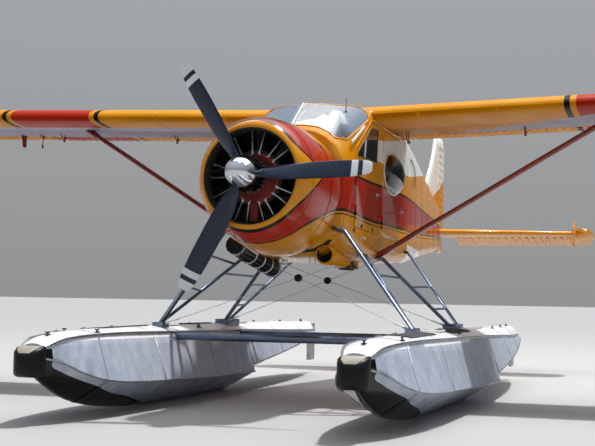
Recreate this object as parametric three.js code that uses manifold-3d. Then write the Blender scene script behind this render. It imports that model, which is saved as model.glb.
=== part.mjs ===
import * as THREE from 'three';
import Module from 'manifold-3d';

const wasm = await Module();
wasm.setup();
const { Manifold, CrossSection, Mesh } = wasm;

// Millimetres. Airframe pieces are drawn about the propeller hub: x to the left wing, y aft,
// z up from the thrust line. finish() then tips them nose up and sets them on the floats.
const noseUp = 3;                 // degrees between the thrust line and the float decks
const hubY = -3765.5, hubZ = 2270;  // place of the hub above the keels
const gap = 0.3;                  // between pieces that touch
const doorGap = 6;                // round each door

const cabinHalf = 620, wallThick = 26;
const wing = { noseY: 2240, noseZ: 965, chord: 1587.5, rootX: cabinHalf + gap, tipX: 7315, dihedral: 1.7,
  backDrop: .011 };                // how far the tail edge sits lower, in parts of the chord
const flapHinge = { y: 1230, z: 5, radius: 46, face: 1170 };   // from the wing's nose, in its own plane
const flapSpan = [755, 3990], aileronSpan = [4002, 7140];
const tail = { z: 240, hingeY: 8420, elevatorDroop: 13, rudderY: 8400 };
const track = 1450, footX = 1340;      // half distances between the float centres and strut feet
const deckZ = -1470;                   // float deck below the hub, after the tip
const keelZ = -hubZ;
const stepY = 3200;
const bladeRadius = 1230, bladeAngle = 2;
const spinner = { radius: 180, back: 110, tip: -320 };

const join = (...parts) => Manifold.union(parts.flat());
const slab = (x0, x1, y0, y1, z0, z1) =>
  Manifold.cube([x1 - x0, y1 - y0, z1 - z0]).translate([x0, y0, z0]);
const mirror = (m) => m.mirror([1, 0, 0]);
const both = (m) => join(m, mirror(m));

// a closed solid through rings of points, each ring given in the same turning direction
function loft(rings) {
  const n = rings[0].length, verts = [], tris = [];
  for (const ring of rings) for (const p of ring) verts.push(...p);
  for (let i = 0; i + 1 < rings.length; i++)
    for (let k = 0; k < n; k++) {
      const a = i * n + k, b = i * n + (k + 1) % n, c = a + n, d = b + n;
      tris.push(a, b, d, a, d, c);
    }
  for (let side = 0; side < 2; side++) {
    const base = side ? (rings.length - 1) * n : 0, centre = verts.length / 3;
    const ring = side ? rings[rings.length - 1] : rings[0];
    verts.push(...[0, 1, 2].map((j) => ring.reduce((s, p) => s + p[j], 0) / n));
    for (let k = 0; k < n; k++) {
      const a = base + k, b = base + (k + 1) % n;
      if (side) tris.push(centre, a, b); else tris.push(centre, b, a);
    }
  }
  const make = (t) => new Manifold(new Mesh({
    numProp: 3, vertProperties: new Float32Array(verts), triVerts: new Uint32Array(t) }));
  const solid = make(tris);
  if (solid.volume() > 0) return solid;
  const flipped = [];
  for (let i = 0; i < tris.length; i += 3) flipped.push(tris[i], tris[i + 2], tris[i + 1]);
  return make(flipped);
}

// a rounded box section across the body: half width, bottom, top, lower and upper corner radius
function section(y, half, bottom, top, rLow, rTop, steps = 5) {
  const ring = [];
  const corners = [[1, 1, rTop, 0], [-1, 1, rTop, 90], [-1, -1, rLow, 180], [1, -1, rLow, 270]];
  for (const [sx, sz, r, start] of corners)
    for (let i = 0; i <= steps; i++) {
      const a = (start + 90 * i / steps) * Math.PI / 180;
      ring.push([sx * (half - r) + r * Math.cos(a), y,
        (sz > 0 ? top - r : bottom + r) + r * Math.sin(a)]);
    }
  return ring;
}

// outline of (y, z) points swept across from x0 to x1
function sweep(points, x0, x1) {
  return Manifold.extrude(new CrossSection([points]), x1 - x0)
    .transform([0, 1, 0, 0, 0, 0, 1, 0, 1, 0, 0, 0, x0, 0, 0, 1]);
}
// outline of (x, y) points swept up from z0 to z1
const raise = (points, z0, z1) => Manifold.extrude(new CrossSection([points]), z1 - z0).translate([0, 0, z0]);

function rod(from, to, radius, wide = radius, sides = 12) {
  const a = new THREE.Vector3(...from), b = new THREE.Vector3(...to);
  const along = b.clone().sub(a).normalize();
  const flat = new THREE.Vector3(0, 1, 0).addScaledVector(along, -along.y).normalize();
  const across = flat.clone().cross(along);
  const ring = (p) => Array.from({ length: sides }, (_, i) => {
    const t = 2 * Math.PI * i / sides;
    return p.clone().addScaledVector(flat, wide * Math.cos(t)).addScaledVector(across, radius * Math.sin(t)).toArray();
  });
  return loft([ring(a), ring(b)]);
}
const pin = (x, y, z0, z1, r, sides = 20) => Manifold.cylinder(z1 - z0, r, r, sides).translate([x, y, z0]);
const barX = (x0, x1, y, z, r, sides = 20) =>
  Manifold.cylinder(x1 - x0, r, r, sides).rotate([0, 90, 0]).translate([x0, y, z]);
const barY = (x, y0, y1, z, r, r2 = r, sides = 32) =>
  Manifold.cylinder(y1 - y0, r, r2, sides).rotate([-90, 0, 0]).translate([x, y0, z]);

// cuts a piece back from its neighbour so that they don't overlap
function trim(piece, other, space = gap) {
  for (const step of [[1, 0, 0], [-1, 0, 0], [0, 1, 0], [0, -1, 0], [0, 0, 1], [0, 0, -1]])
    piece = piece.subtract(other.translate(step.map((v) => v * space)));
  return piece;
}
const largest = (m) => m.decompose().sort((a, b) => b.volume() - a.volume())[0];
const tipped = (m) => m.rotate([-noseUp, 0, 0]);
const settle = (m) => m.translate([0, hubY, hubZ]);

// fuselage: y, half width, bottom, top, lower radius, upper radius
const bodyTable = [
  [1215, 598, -612, 625, 420, 450],
  [1350, 606, -655, 700, 360, 470],
  [1690, 614, -658, 980, 220, 520],
  [2100, 620, -658, 1038, 150, 220],
  [2240, 620, -657, 1046, 150, 150],
  [3850, 620, -545, 1020, 150, 150],
  [4500, 572, -488, 955, 170, 170],
  [6000, 405, -290, 800, 150, 150],
  [7600, 228, -90, 625, 110, 110],
  [8345, 96, 0, 545, 70, 70],
];
const bodyAt = (y) => {
  const i = Math.max(0, Math.min(bodyTable.length - 2, bodyTable.findIndex((r) => r[0] >= y) - 1));
  const a = bodyTable[i], b = bodyTable[i + 1], t = (y - a[0]) / (b[0] - a[0]);
  return a.map((v, k) => v + (b[k] - v) * t);
};
const cabinEnd = 4600;
const bodyLoft = (rows, inset = 0) => loft(rows.map(([y, h, lo, hi, r1, r2]) =>
  section(y, h - inset, lo + inset, hi - inset, Math.max(20, r1 - inset), Math.max(20, r2 - inset))));
const cabinRows = [...bodyTable.filter((r) => r[0] < cabinEnd), bodyAt(cabinEnd)];
const tailRows = [bodyAt(cabinEnd + gap), ...bodyTable.filter((r) => r[0] > cabinEnd + 10)];
const skin = bodyLoft(cabinRows);
const innerRows = (inset, low, front = 1215, end = 4500) => [
  bodyAt(front), ...bodyTable.filter((r) => r[0] > front && r[0] < end), bodyAt(end)]
  .map(([y, h, lo, hi, r1, r2]) => [y, h - inset, low === null ? lo + inset : low, hi - inset, 30, Math.max(20, r2 - inset)]);
const loftRows = (rows) => loft(rows.map((r) => section(...r)));
const floorZ = -420;
const hollow = loftRows(innerRows(wallThick, floorZ, 1260, 4480));
const glassHollow = bodyLoft([bodyAt(1222), ...bodyTable.filter((r) => r[0] > 1225 && r[0] < 4500), bodyAt(4500)], 8);

// the wing section as parts of the chord
const upper = [[0, 0], [.006, .019], [.03, .041], [.08, .063], [.16, .082], [.3, .088], [.5, .078], [.7, .052], [.9, .019], [1, .002]];
const lower = [[1, -.002], [.9, -.01], [.7, -.024], [.5, -.034], [.3, -.039], [.15, -.037], [.06, -.03], [.015, -.018]];
const wingRing = (x, scale = 1, thick = 1, shift = 0) => [...upper, ...lower].map(([a, b]) =>
  [x, wing.noseY + shift + a * wing.chord * scale, wing.noseZ + (b * thick - a * wing.backDrop) * wing.chord]);
const centreSection = loft([wingRing(-cabinHalf), wingRing(cabinHalf)]);
const lean = (m) => m.translate([-cabinHalf, 0, -wing.noseZ]).rotate([0, -wing.dihedral, 0])
  .translate([cabinHalf, 0, wing.noseZ]);
const wingWhole = loft([wingRing(wing.rootX - 40), wingRing(7190), wingRing(7270, .96, .8, 30),
  wingRing(wing.tipX, .86, .4, 110)]);
const hingeY = wing.noseY + flapHinge.y, hingeZ = wing.noseZ + flapHinge.z, spar = wing.noseY + flapHinge.face;
const flapZone = slab(flapSpan[0] - 12, aileronSpan[1] + 12, spar, spar + 900, 700, 1400);
const bracketAt = [[1100, 3600], [4400, 6800]];
const hingePlate = (x) => join(slab(x - 2, x + 2, spar - 30, hingeY, hingeZ - 11, hingeZ + 11),
  barX(x - 2, x + 2, hingeY, hingeZ, 11));
let wingLeft = join(wingWhole.subtract(flapZone), bracketAt.flat().map(hingePlate));
wingLeft = lean(wingLeft).subtract(slab(-900, wing.rootX, 1500, 4500, 500, 1600));

function trailing([x0, x1], slots) {
  const r = flapHinge.radius, end = wing.noseY + wing.chord, low = wing.noseZ - wing.backDrop * wing.chord;
  const ring = (x) => [...Array(9)].map((_, i) => {
    const a = (90 + 180 * i / 8) * Math.PI / 180;
    return [x, hingeY + r * Math.cos(a), hingeZ + r * Math.sin(a)];
  }).concat([[x, end - 60, low - 14], [x, end, low - 4], [x, end, low + 3]]);
  let m = loft([ring(x0), ring(x1)]);
  for (const x of slots) m = m.subtract(slab(x - 2.6, x + 2.6, hingeY - 80, hingeY + 16, hingeZ - 90, hingeZ + 90));
  return lean(m);
}
const flapLeft = trailing(flapSpan, bracketAt[0]), aileronLeft = trailing(aileronSpan, bracketAt[1]);

// windows and doors as outlines in the side view
const screenSide = [[1335, 555], [1500, 560], [1860, 745], [2095, 875], [2125, 965], [2200, 1400], [1335, 1400]];
const screenPlan = [[-700, 1300], [700, 1300], [700, 2270], [500, 2110], [0, 1700], [-500, 2110], [-700, 2270]];
const inside = (points, d) => new CrossSection([points]).offset(-d, 'Miter');
const sweepCut = (points, d, x0, x1) => Manifold.extrude(inside(points, d), x1 - x0)
  .transform([0, 1, 0, 0, 0, 0, 1, 0, 1, 0, 0, 0, x0, 0, 0, 1]);
const screen = (d) => sweepCut(screenSide, d, -900, 900)
  .intersect(Manifold.extrude(inside(screenPlan, d), 1300).translate([0, 0, 400]));
const doorTop = 872;
const doors = {
  crew: { outline: [[1640, -330], [2530, -330], [2530, doorTop], [2215, doorTop], [1640, 470]],
    window: [[1700, 425], [2440, 460], [2470, 825], [2190, 795], [1720, 470]], knuckles: [-180, 180] },
  cabin: { outline: [[2700, -330], [3690, -330], [3690, doorTop], [2700, doorTop]], knuckles: [-180, 620] },
};
let shell = join(skin, centreSection).subtract(hollow).subtract(screen(0));
let doorPieces = {};
for (const [name, door] of Object.entries(doors)) {
  const hole = sweepCut(door.outline, 0, 300, 900);
  const frontY = Math.min(...door.outline.map((p) => p[0]));
  let panel = skin.subtract(hollow).intersect(sweepCut(door.outline, doorGap, 300, 900));
  const width = bodyAt(frontY)[1], axisX = width + 12;
  for (const z of door.knuckles) {
    panel = join(panel, pin(axisX, frontY, z - 40, z + 40, 8),
      slab(width - 6, width + 6, frontY + .5, frontY + 40, z - 40, z + 40));
    for (const [a, b] of [[z - 80, z - 40.4], [z + 40.4, z + 80]])
      shell = join(shell, both(join(pin(axisX, frontY, a, b, 8), slab(width - 6, width + 6, frontY - 40, frontY, a, b))));
  }
  shell = shell.subtract(both(hole.subtract(join(...door.knuckles.flatMap((z) =>
    [slab(width + 3, 700, frontY - 12, frontY + 9, z - 80, z - 40.4), slab(width + 3, 700, frontY - 12, frontY + 9, z + 40.4, z + 80)])))));
  doorPieces[name] = panel;
}
const paneIn = (points, x0 = 300) => skin.subtract(glassHollow).intersect(sweepCut(points, gap, x0, 900));
const crewWindow = largest(paneIn(doors.crew.window));
doorPieces.crew = doorPieces.crew.subtract(sweep(doors.crew.window, 300, 900));
const bubble = { y: 3180, z: 430, long: 400, high: 235, out: 120 };
const ball = (grow) => Manifold.sphere(1, 20).scale([bubble.out + grow, bubble.long + grow, bubble.high + grow])
  .translate([cabinHalf, bubble.y, bubble.z]);
doorPieces.cabin = doorPieces.cabin.subtract(ball(-22));
const bubbleWindow = ball(0).subtract(ball(-6)).intersect(slab(cabinHalf + gap, 900, 2000, 4500, -400, 1000));
const windshield = largest(skin.subtract(glassHollow).intersect(screen(gap)));

// nose: the cowling's outer and inner rings as y, radius, reach below the hub
const cowlWidth = .965;
const ringAt = (y, r, low = r, n = 40) => Array.from({ length: n }, (_, i) => {
  const a = 2 * Math.PI * i / n, s = Math.sin(a);
  return [(r > 510 ? cowlWidth : 1) * r * Math.cos(a), y, (s < 0 ? low : r) * s];
});
const rings = (table) => loft(table.map(([y, r, low]) => ringAt(y, r, low)));
const cowlOuter = rings([[128, 478], [140, 503], [190, 546], [300, 592], [460, 619, 631], [820, 632, 688], [1100, 622, 688],
  [1195, 606, 660]]);
const cowlInner = rings([[100, 474], [128, 468], [150, 448], [230, 441], [285, 450], [335, 560], [420, 586, 592], [820, 606, 662],
  [1100, 597, 663], [1260, 576, 625]]);
const cowling = cowlOuter.subtract(cowlInner);
const cylinders = Array.from({ length: 9 }, (_, i) =>
  join(Manifold.cylinder(330, 78, 78, 14).translate([0, 0, 150]), Manifold.cylinder(108, 95, 70, 14).translate([0, 0, 440]))
    .translate([0, 445, 0]).rotate([0, 40 * i, 0]));
const engine = join(barY(0, 330, 800, 0, 235), barY(0, 200, 330, 0, 150, 225), barY(0, 130, 202, 0, 95, 150),
  barY(0, 60, 132, 0, 45), barY(0, 798, 1215 - gap, 0, 260, 300), cylinders);
const engineMounted = largest(trim(join(engine, [0, 120, 240].map((a) =>
  slab(-14, 14, 420, 480, 540, 612).rotate([0, a, 0]))), cowling));

// propeller: distance out, chord, thickness, twist
const bladeTable = [[60, 110, 90, 50], [190, 120, 66, 46], [340, 178, 40, 38], [600, 196, 26, 30], [900, 188, 18, 24],
  [1120, 160, 13, 20], [1200, 128, 11, 19], [1230, 74, 9, 18]];
const bladeRing = ([out, chord, thick, twist]) => Array.from({ length: 16 }, (_, i) => {
  const t = 2 * Math.PI * i / 16, a = twist * Math.PI / 180;
  const u = chord / 2 * Math.cos(t), v = thick / 2 * Math.sin(t);
  return [out, u * Math.sin(a) + v * Math.cos(a), u * Math.cos(a) - v * Math.sin(a)];
});
const blade = loft(bladeTable.map(bladeRing));
const domeTable = [[110, 180], [40, 178], [-60, 166], [-150, 145], [-230, 111], [-285, 72], [-320, 12]];
const dome = rings(domeTable);
const rotor = join([0, 1, 2].map((i) => blade.rotate([0, -(bladeAngle + 120 * i), 0])), barY(0, -60, 100, 0, 72))
  .subtract(barY(0, 50, 130, 0, 45.5));
const domeInside = rings([[120, 174], ...domeTable.slice(1, -1).map(([y, r]) => [y, r - 6]), [-308, 8]]);
const spinnerShell = trim(dome.subtract(domeInside), rotor, .4);

// tail surfaces
const thin = (x, yFront, yBack, half, z = tail.z) => {
  const l = yBack - yFront;
  return [[0, 0], [.04, .5], [.15, .85], [.4, 1], [1, .9], [1, -.9], [.4, -1], [.15, -.85], [.04, -.5]]
    .map(([a, b]) => [x, yFront + a * l, z + b * half]);
};
const rearFace = tail.hingeY - 54;
const tailplaneHalf = loft([thin(-1, 7740, rearFace, 48), thin(1200, 7960, rearFace, 42), thin(2100, 8110, rearFace, 34),
  thin(2135, 8140, rearFace, 26)]);
const elevatorSlots = [420, 1900];
const tailplaneSide = join(tailplaneHalf,
  elevatorSlots.map((x) => join(slab(x - 2, x + 2, rearFace - 30, tail.hingeY, tail.z - 11, tail.z + 11),
    barX(x - 2, x + 2, tail.hingeY, tail.z, 11))),
  sweep([[8090, 60], [8340, 30], [8350, 240], [8340, 420], [8230, 430], [8130, 330]], 2118, 2130));
const tailplane = both(tailplaneSide).subtract(slab(-110, 110, 8335, 8600, 0, 500));
function elevator() {
  const ring = (x, back, r) => [...Array(9)].map((_, i) => {
    const a = (90 + 180 * i / 8) * Math.PI / 180;
    return [x, tail.hingeY + r * Math.cos(a), tail.z + r * Math.sin(a)];
  }).concat([[x, back, tail.z - 4], [x, back, tail.z + 4]]);
  let m = loft([ring(285, 8930, 40), ring(2050, 8900, 32), ring(2160, 8880, 28)]);
  const horn = raise([[2146, 8180], [2240, 8158], [2318, 8190], [2368, 8280], [2386, 8420], [2375, 8640], [2322, 8800],
    [2240, 8866], [2146, 8880]], tail.z - 18, tail.z + 18);
  m = join(m, horn);
  for (const x of elevatorSlots)
    m = m.subtract(slab(x - 2.6, x + 2.6, tail.hingeY - 80, tail.hingeY + 16, tail.z - 90, tail.z + 90));
  return m.translate([0, -tail.hingeY, -tail.z]).rotate([-tail.elevatorDroop, 0, 0]).translate([0, tail.hingeY, tail.z]);
}
const elevatorLeft = elevator();

// fin and rudder: z, front, back, half thickness
const upright = (z, yFront, yBack, half) => {
  const l = yBack - yFront;
  return [[0, 0], [.04, .5], [.15, .85], [.4, 1], [1, .95], [1, -.95], [.4, -1], [.15, -.85], [.04, -.5]]
    .map(([a, b]) => [b * half, yFront + a * l, z]);
};
const finBack = tail.rudderY - 52;
const finTable = [[500, 6380, finBack, 44], [690, 6740, finBack, 42], [790, 7210, finBack, 40], [950, 7610, finBack, 38],
  [1250, 7920, finBack, 36], [1500, 8110, finBack, 34], [1690, 8225, finBack, 32], [1770, 8290, finBack, 22]];
const rudderSlots = [300, 1000, 1550];
const finPlate = (z) => join(slab(-11, 11, finBack - 30, tail.rudderY, z - 2, z + 2), pin(0, tail.rudderY, z - 2, z + 2, 11));
const coneSolid = bodyLoft(tailRows);
const tailplaneRoom = join(tailplane.translate([0, 0, gap]), tailplane.translate([0, 0, -gap]), tailplane.translate([0, -gap, 0]),
  slab(-200, 200, rearFace - 40, 8500, tail.z - 60, tail.z + 60));
const tailWall = 20;
const tailHollow = loftRows([bodyAt(cabinEnd), bodyAt(6000), bodyAt(7500)].map(([y, h, lo, hi, r1, r2]) =>
  [y, h - tailWall, lo + tailWall, hi - tailWall, r1 - tailWall, r2 - tailWall]));
const tailCone = largest(join(coneSolid.subtract(tailHollow), finPlate(70)).subtract(tailplaneRoom));
const fin = largest(trim(join(loft(finTable.map((r) => upright(...r))), rudderSlots.slice(1).map(finPlate)), tailCone)
  .subtract(slab(-300, 300, 6000, 9000, 300, 560)));
function rudderSolid() {
  const ring = (z, back, r) => [...Array(9)].map((_, i) => {
    const a = (180 + 180 * i / 8) * Math.PI / 180;
    return [r * Math.cos(a), tail.rudderY + r * Math.sin(a), z];
  }).concat([[4, back, z], [-4, back, z]]);
  let m = loft([ring(-20, 8740, 36), ring(60, 8850, 40), ring(400, 8925, 40), ring(1200, 8930, 36),
    ring(1640, 8900, 32), ring(1775, 8790, 24)]);
  for (const z of [70, ...rudderSlots.slice(1)])
    m = m.subtract(slab(-90, 90, tail.rudderY - 80, tail.rudderY + 16, z - 2.6, z + 2.6));
  return m;
}
const rudder = rudderSolid();

// floats, in the level frame: y, half width of deck and chine, heights of deck edge, deck crown, chine and keel
const hull = [
  [-1270, 115, 122, -1600, -1565, -1700, -1840],
  [-1100, 155, 200, -1548, -1512, -1745, -1930],
  [-850, 192, 285, -1522, -1483, -1845, -2045],
  [-500, 225, 355, -1510, -1470, -1925, -2140],
  [0, 255, 410, -1507, -1463, -1965, -2215],
  [900, 280, 432, -1520, -1460, -1995, keelZ],
  [2000, 285, 432, -1538, -1462, -2025, keelZ],
  [stepY, 280, 424, -1558, -1470, -2040, keelZ],
];
const after = [
  [stepY, 280, 414, -1558, -1470, -1950, keelZ + 95],
  [4400, 250, 368, -1590, -1488, -1860, -2035],
  [5600, 190, 262, -1622, -1507, -1765, -1865],
  [6480, 120, 150, -1642, -1522, -1690, -1740],
];
const keelHalf = 20;
function hullRing([y, deck, chine, edge, crown, low, keel]) {
  const side = [[-deck * .5, y, edge + (crown - edge) * .8], [-deck, y, edge], [-chine, y, low], [-keelHalf, y, keel]];
  return [[0, y, crown], ...side, ...side.reverse().map(([x, , z]) => [-x, y, z])];
}
const sternPlate = (z) => join(slab(-11, 11, 6460, 6560, z - 2, z + 2), pin(0, 6560, z - 2, z + 2, 11));
const waterSlots = [-1700, -1600];
const floatSolid = join(loft(hull.map(hullRing)), loft(after.map(hullRing)).translate([0, -0.5, 0]), waterSlots.map(sternPlate));
const floatLeft = floatSolid.translate([track, 0, 0]);
const padTable = [[-1270.3, 128, -1588, -1838], [-1330, 135, -1596, -1842], [-1390, 120, -1618, -1832], [-1430, 84, -1648, -1806],
  [-1450, 40, -1690, -1770]];
const bumper = loft(padTable.map(([y, half, top, low]) => section(y, half, low - 20, top, 34, 34, 3)));
const bumperLeft = bumper.translate([track, 0, 0]);
const waterRudder = join(raise([[-16, 6550], [0, 6530], [16, 6550], [12, 6700], [5, 6860], [-5, 6860], [-12, 6700]], -2080, -1560))
  .subtract(waterSlots.map((z) => slab(-40, 40, 6500, 6580, z - 2.6, z + 2.6)).reduce((a, b) => join(a, b)))
  .translate([track, 0, 0]);

const strutLow = [600, 2640, -553], strutHigh = [3155, 2840, 1000];
const wingStrut = largest(trim(trim(rod(strutLow, strutHigh, 28, 62), skin), wingLeft));

// float struts run from the body sides down to feet on the decks
const tip = ([x, y, z]) => {
  const a = noseUp * Math.PI / 180;
  return [x, y * Math.cos(a) + z * Math.sin(a), -y * Math.sin(a) + z * Math.cos(a)];
};
const footZ = deckZ + 30;
const feet = { front: [1345, 1165, footZ], rear: [1330, 2985, footZ], last: [1375, 3225, footZ] };
const strutTops = { front: tip([640, 1185, -415]), frontMid: tip([662, 1930, -600]), rear: tip([662, 2622, -580]),
  last: tip([655, 3850, -400]) };
const along = (a, b, t) => a.map((v, i) => v + (b[i] - v) * t);
const onStrut = (name, t) => along(strutTops[name], feet[name === 'frontMid' ? 'front' : name], t);
const lug = ([x, y, z]) => rod([x + 6, y, z - 12], [x - 130, y, z + 30], 20, 34);
const rungs = [['frontMid', .285, 'rear', .295], ['rear', .43, 'last', .5], ['rear', .76, 'last', .79],
  ['front', .6, 'frontMid', .535], ['front', .26, 'frontMid', .145]];
const strutPieces = [
  rod(strutTops.front, feet.front, 22, 38), rod(strutTops.frontMid, feet.front, 17, 27),
  rod(strutTops.rear, feet.rear, 20, 34), rod(strutTops.last, feet.last, 17, 27),
  Object.values(strutTops).map(lug),
  rungs.map(([a, t, b, u]) => rod(onStrut(a, t), onStrut(b, u), 13)),
  slab(1285, 1400, 1080, 1250, deckZ - 30, footZ + 10), slab(1275, 1430, 2910, 3300, deckZ - 30, footZ + 10),
].flat();
const bodyTipped = tipped(join(skin, slab(-500, 500, 1300, 4300, -600, 0)));
const strutsLeft = largest([bodyTipped, floatLeft, tipped(wingStrut)].reduce((m, other) => trim(m, other), join(strutPieces)));
const barEnds = track - 262;
const spreader = (y, z) => largest(trim(barX(-barEnds, barEnds, y, z, 38), both(floatLeft)));
const spreaderFront = spreader(1165, -1572), spreaderRear = spreader(3057, -1598);

// inside the cabin
const room = shell;
const panel = largest(trim(join(slab(-585, 585, 1470, 1500, 60, 480), slab(-585, 585, 1420, 1500, 440, 520)).intersect(hollow), room));
const seat = (x, y) => join(slab(x - 215, x + 215, y, y + 430, -110, 0), slab(x - 210, x + 210, y + 370, y + 470, -60, 560),
  slab(x - 150, x + 150, y + 60, y + 380, floorZ + .3, -100));
const seatLeft = seat(280, 1960);
const bench = largest(trim(join(slab(-540, 540, 3380, 3800, -110, 10), slab(-540, 540, 3740, 3850, -60, 560),
  slab(-500, 500, 3440, 3780, floorZ + .3, -100)), room));
const nose = join(cowling, skin);
const muff = join(rod([-420, 900, -582], [-410, 1240, -640], 97), rod([-410, 1235, -640], [-386, 2000, -748], 97))
  .subtract(rod([-391, 1830, -724], [-382, 2080, -759], 78));
const exhaust = largest(trim(muff, nose));
const ductZ = -650;
const duct = join(barY(420, 1245, 1262, ductZ, 90, 101, 24), barY(420, 1262, 1900, ductZ, 101, 88, 24),
  rod([420, 1890, ductZ], [440, 2230, ductZ], 50, 60), slab(330, 510, 1900, 2200, ductZ - 84, ductZ + 30))
  .subtract(barY(420, 1200, 1420, ductZ, 84, 80, 24)).subtract(slab(350, 490, 1930, 2170, ductZ - 120, ductZ - 60));
const scoop = largest(trim(duct, nose));

const finish = (m) => settle(tipped(m));
const pieces = {
  fuselage_shell: [finish(shell), '#e8a317'],
  tail_cone: [finish(tailCone), '#e8a317'],
  engine_cowling: [finish(cowling), '#f0a818'],
  engine: [finish(engineMounted), '#4b4a48'],
  exhaust_pipe: [finish(exhaust), '#3a3532'],
  nose_scoop: [finish(scoop), '#d99a1c'],
  propeller_blades: [finish(rotor), '#39404c'],
  spinner: [finish(spinnerShell), '#d8dade'],
  windshield: [finish(windshield), '#9fb4c4'],
  instrument_panel: [finish(panel), '#26282a'],
  seat_left: [finish(seatLeft), '#5a5f66'],
  seat_right: [finish(mirror(seatLeft)), '#5a5f66'],
  bench_seat: [finish(bench), '#5a5f66'],
  tailplane: [finish(tailplane), '#e8a317'],
  fin: [finish(fin), '#eeeae0'],
  rudder: [finish(rudder), '#eeeae0'],
  spreader_bar_front: [settle(spreaderFront), '#8b98a8'],
  spreader_bar_rear: [settle(spreaderRear), '#8b98a8'],
};
const pairs = {
  crew_door: [finish(doorPieces.crew), '#e8a317'], crew_window: [finish(crewWindow), '#9fb4c4'],
  cabin_door: [finish(doorPieces.cabin), '#eeeae0'], bubble_window: [finish(bubbleWindow), '#9fb4c4'],
  wing: [finish(wingLeft), '#e8a317'], flap: [finish(flapLeft), '#e8a317'], aileron: [finish(aileronLeft), '#eeeae0'],
  wing_strut: [finish(wingStrut), '#a2311d'], elevator: [finish(elevatorLeft), '#e8a317'],
  float: [settle(floatLeft), '#c9ccd0'], float_bumper: [settle(bumperLeft), '#1a1a1c'],
  float_struts: [settle(strutsLeft), '#8b98a8'], water_rudder: [settle(waterRudder), '#b8bcc0'],
};
for (const [name, [solid, colour]] of Object.entries(pairs)) {
  pieces[name + '_left'] = [solid, colour];
  pieces[name + '_right'] = [mirror(solid), colour];
}

const group = new THREE.Group();
for (const [name, [solid, colour]] of Object.entries(pieces)) {
  const data = solid.getMesh();
  const geometry = new THREE.BufferGeometry();
  geometry.setAttribute('position', new THREE.BufferAttribute(new Float32Array(data.vertProperties), 3));
  geometry.setIndex(new THREE.BufferAttribute(new Uint32Array(data.triVerts), 1));
  const mesh = new THREE.Mesh(geometry, new THREE.MeshStandardMaterial({ color: colour }));
  mesh.name = name;
  group.add(mesh);
}
export default group;
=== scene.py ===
import math
import random

import bpy
from mathutils import Matrix, Vector


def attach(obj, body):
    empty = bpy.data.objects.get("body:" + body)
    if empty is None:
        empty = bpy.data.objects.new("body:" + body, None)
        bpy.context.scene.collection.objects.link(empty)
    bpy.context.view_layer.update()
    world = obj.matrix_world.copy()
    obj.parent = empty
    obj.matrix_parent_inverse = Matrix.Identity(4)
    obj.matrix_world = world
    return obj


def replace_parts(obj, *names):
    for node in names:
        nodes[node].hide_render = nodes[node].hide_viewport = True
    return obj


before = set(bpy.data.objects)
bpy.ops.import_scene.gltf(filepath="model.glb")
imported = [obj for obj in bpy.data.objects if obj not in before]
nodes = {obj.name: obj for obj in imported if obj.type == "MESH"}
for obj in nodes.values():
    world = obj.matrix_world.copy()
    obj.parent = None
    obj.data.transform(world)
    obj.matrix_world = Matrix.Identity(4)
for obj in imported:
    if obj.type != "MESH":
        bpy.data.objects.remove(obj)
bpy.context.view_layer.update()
chance = random.Random(7)
hands = {"left": 1, "right": -1}


def inRadians(turns):
    return [math.radians(turn) for turn in turns]


# Camera, at the photograph's place in front of the left float
camera = {"place": (4.247, -15.053, 1.205), "turn": (92.911, -0.846, 18.196), "lens": 78.56, "film": 36, "reach": 400}
bpy.ops.object.camera_add(location=camera["place"], rotation=inRadians(camera["turn"]))
cameraObject = bpy.context.object
cameraObject.data.lens = camera["lens"]
cameraObject.data.sensor_width = camera["film"]
cameraObject.data.clip_end = camera["reach"]
bpy.context.scene.camera = cameraObject
print("camera placed")

# Materials
tree = None  # the node tree of the material or sky in hand
times, plus, less, above, below, most, size, power, scaleAdd = [{"operation": name} for name in (
    "MULTIPLY", "ADD", "SUBTRACT", "GREATER_THAN", "LESS_THAN", "MAXIMUM", "ABSOLUTE", "POWER", "MULTIPLY_ADD")]


def linear(code):
    parts = [int(code[i:i + 2], 16) / 255 for i in (1, 3, 5)]
    return [p / 12.92 if p <= 0.04045 else ((p + 0.055) / 1.055) ** 2.4 for p in parts] + [1]


def add(kind, *values, out=0, links=None, **settings):
    # one shader node, its inputs in order or by name, and the socket it gives; "#..." is a colour
    made = tree.nodes.new("ShaderNode" + kind)
    for key, value in settings.items():
        setattr(made, key, value)
    for key, value in [*enumerate(values), *(links or {}).items()]:
        if isinstance(value, bpy.types.NodeSocket):
            tree.links.new(value, made.inputs[key])
        else:
            made.inputs[key].default_value = linear(value) if isinstance(value, str) else value
    return made.outputs[out] if made.outputs else None


def newMaterial(name):
    global tree
    made = bpy.data.materials.new(name)
    made.use_nodes = True
    tree = made.node_tree
    tree.nodes.clear()
    return made


def finish(colour, bump=None, **sockets):
    links = {"Base Color": colour, **{key.replace("_", " "): value for key, value in sockets.items()}}
    if bump is not None:
        links["Normal"] = bump
    add("OutputMaterial", add("BsdfPrincipled", links=links))


def combined(how, first, *others):
    # masks worked together one after another
    for other in others:
        first = add("Math", first, other, **how)
    return first


def within(value, low, high):
    return combined(times, add("Math", value, low, **above), add("Math", value, high, **below))


def layered(colour, *coats):
    # each coat covers the last where its mask is 1
    for mask, code in coats:
        colour = add("Mix", mask, links={6: colour, 7: code}, data_type="RGBA", out=2)
    return colour


def drawn(value, points, reach, height):
    # a drawn line: its height at a place along it
    share = add("FloatCurve", links={1: add("MapRange", value, *reach)})
    line = share.node.mapping.curves[0]
    while len(line.points) < len(points):
        line.points.new(0.5, 0.5)
    for point, spot in zip(line.points, points):
        point.location = [min(1, max(0, (v - low) / (high - low))) for v, (low, high) in zip(spot, (reach, height))]
    for point in line.points:
        point.handle_type = "AUTO_CLAMPED"
    share.node.mapping.update()
    return add("MapRange", share, 0, 1, *height)


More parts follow.
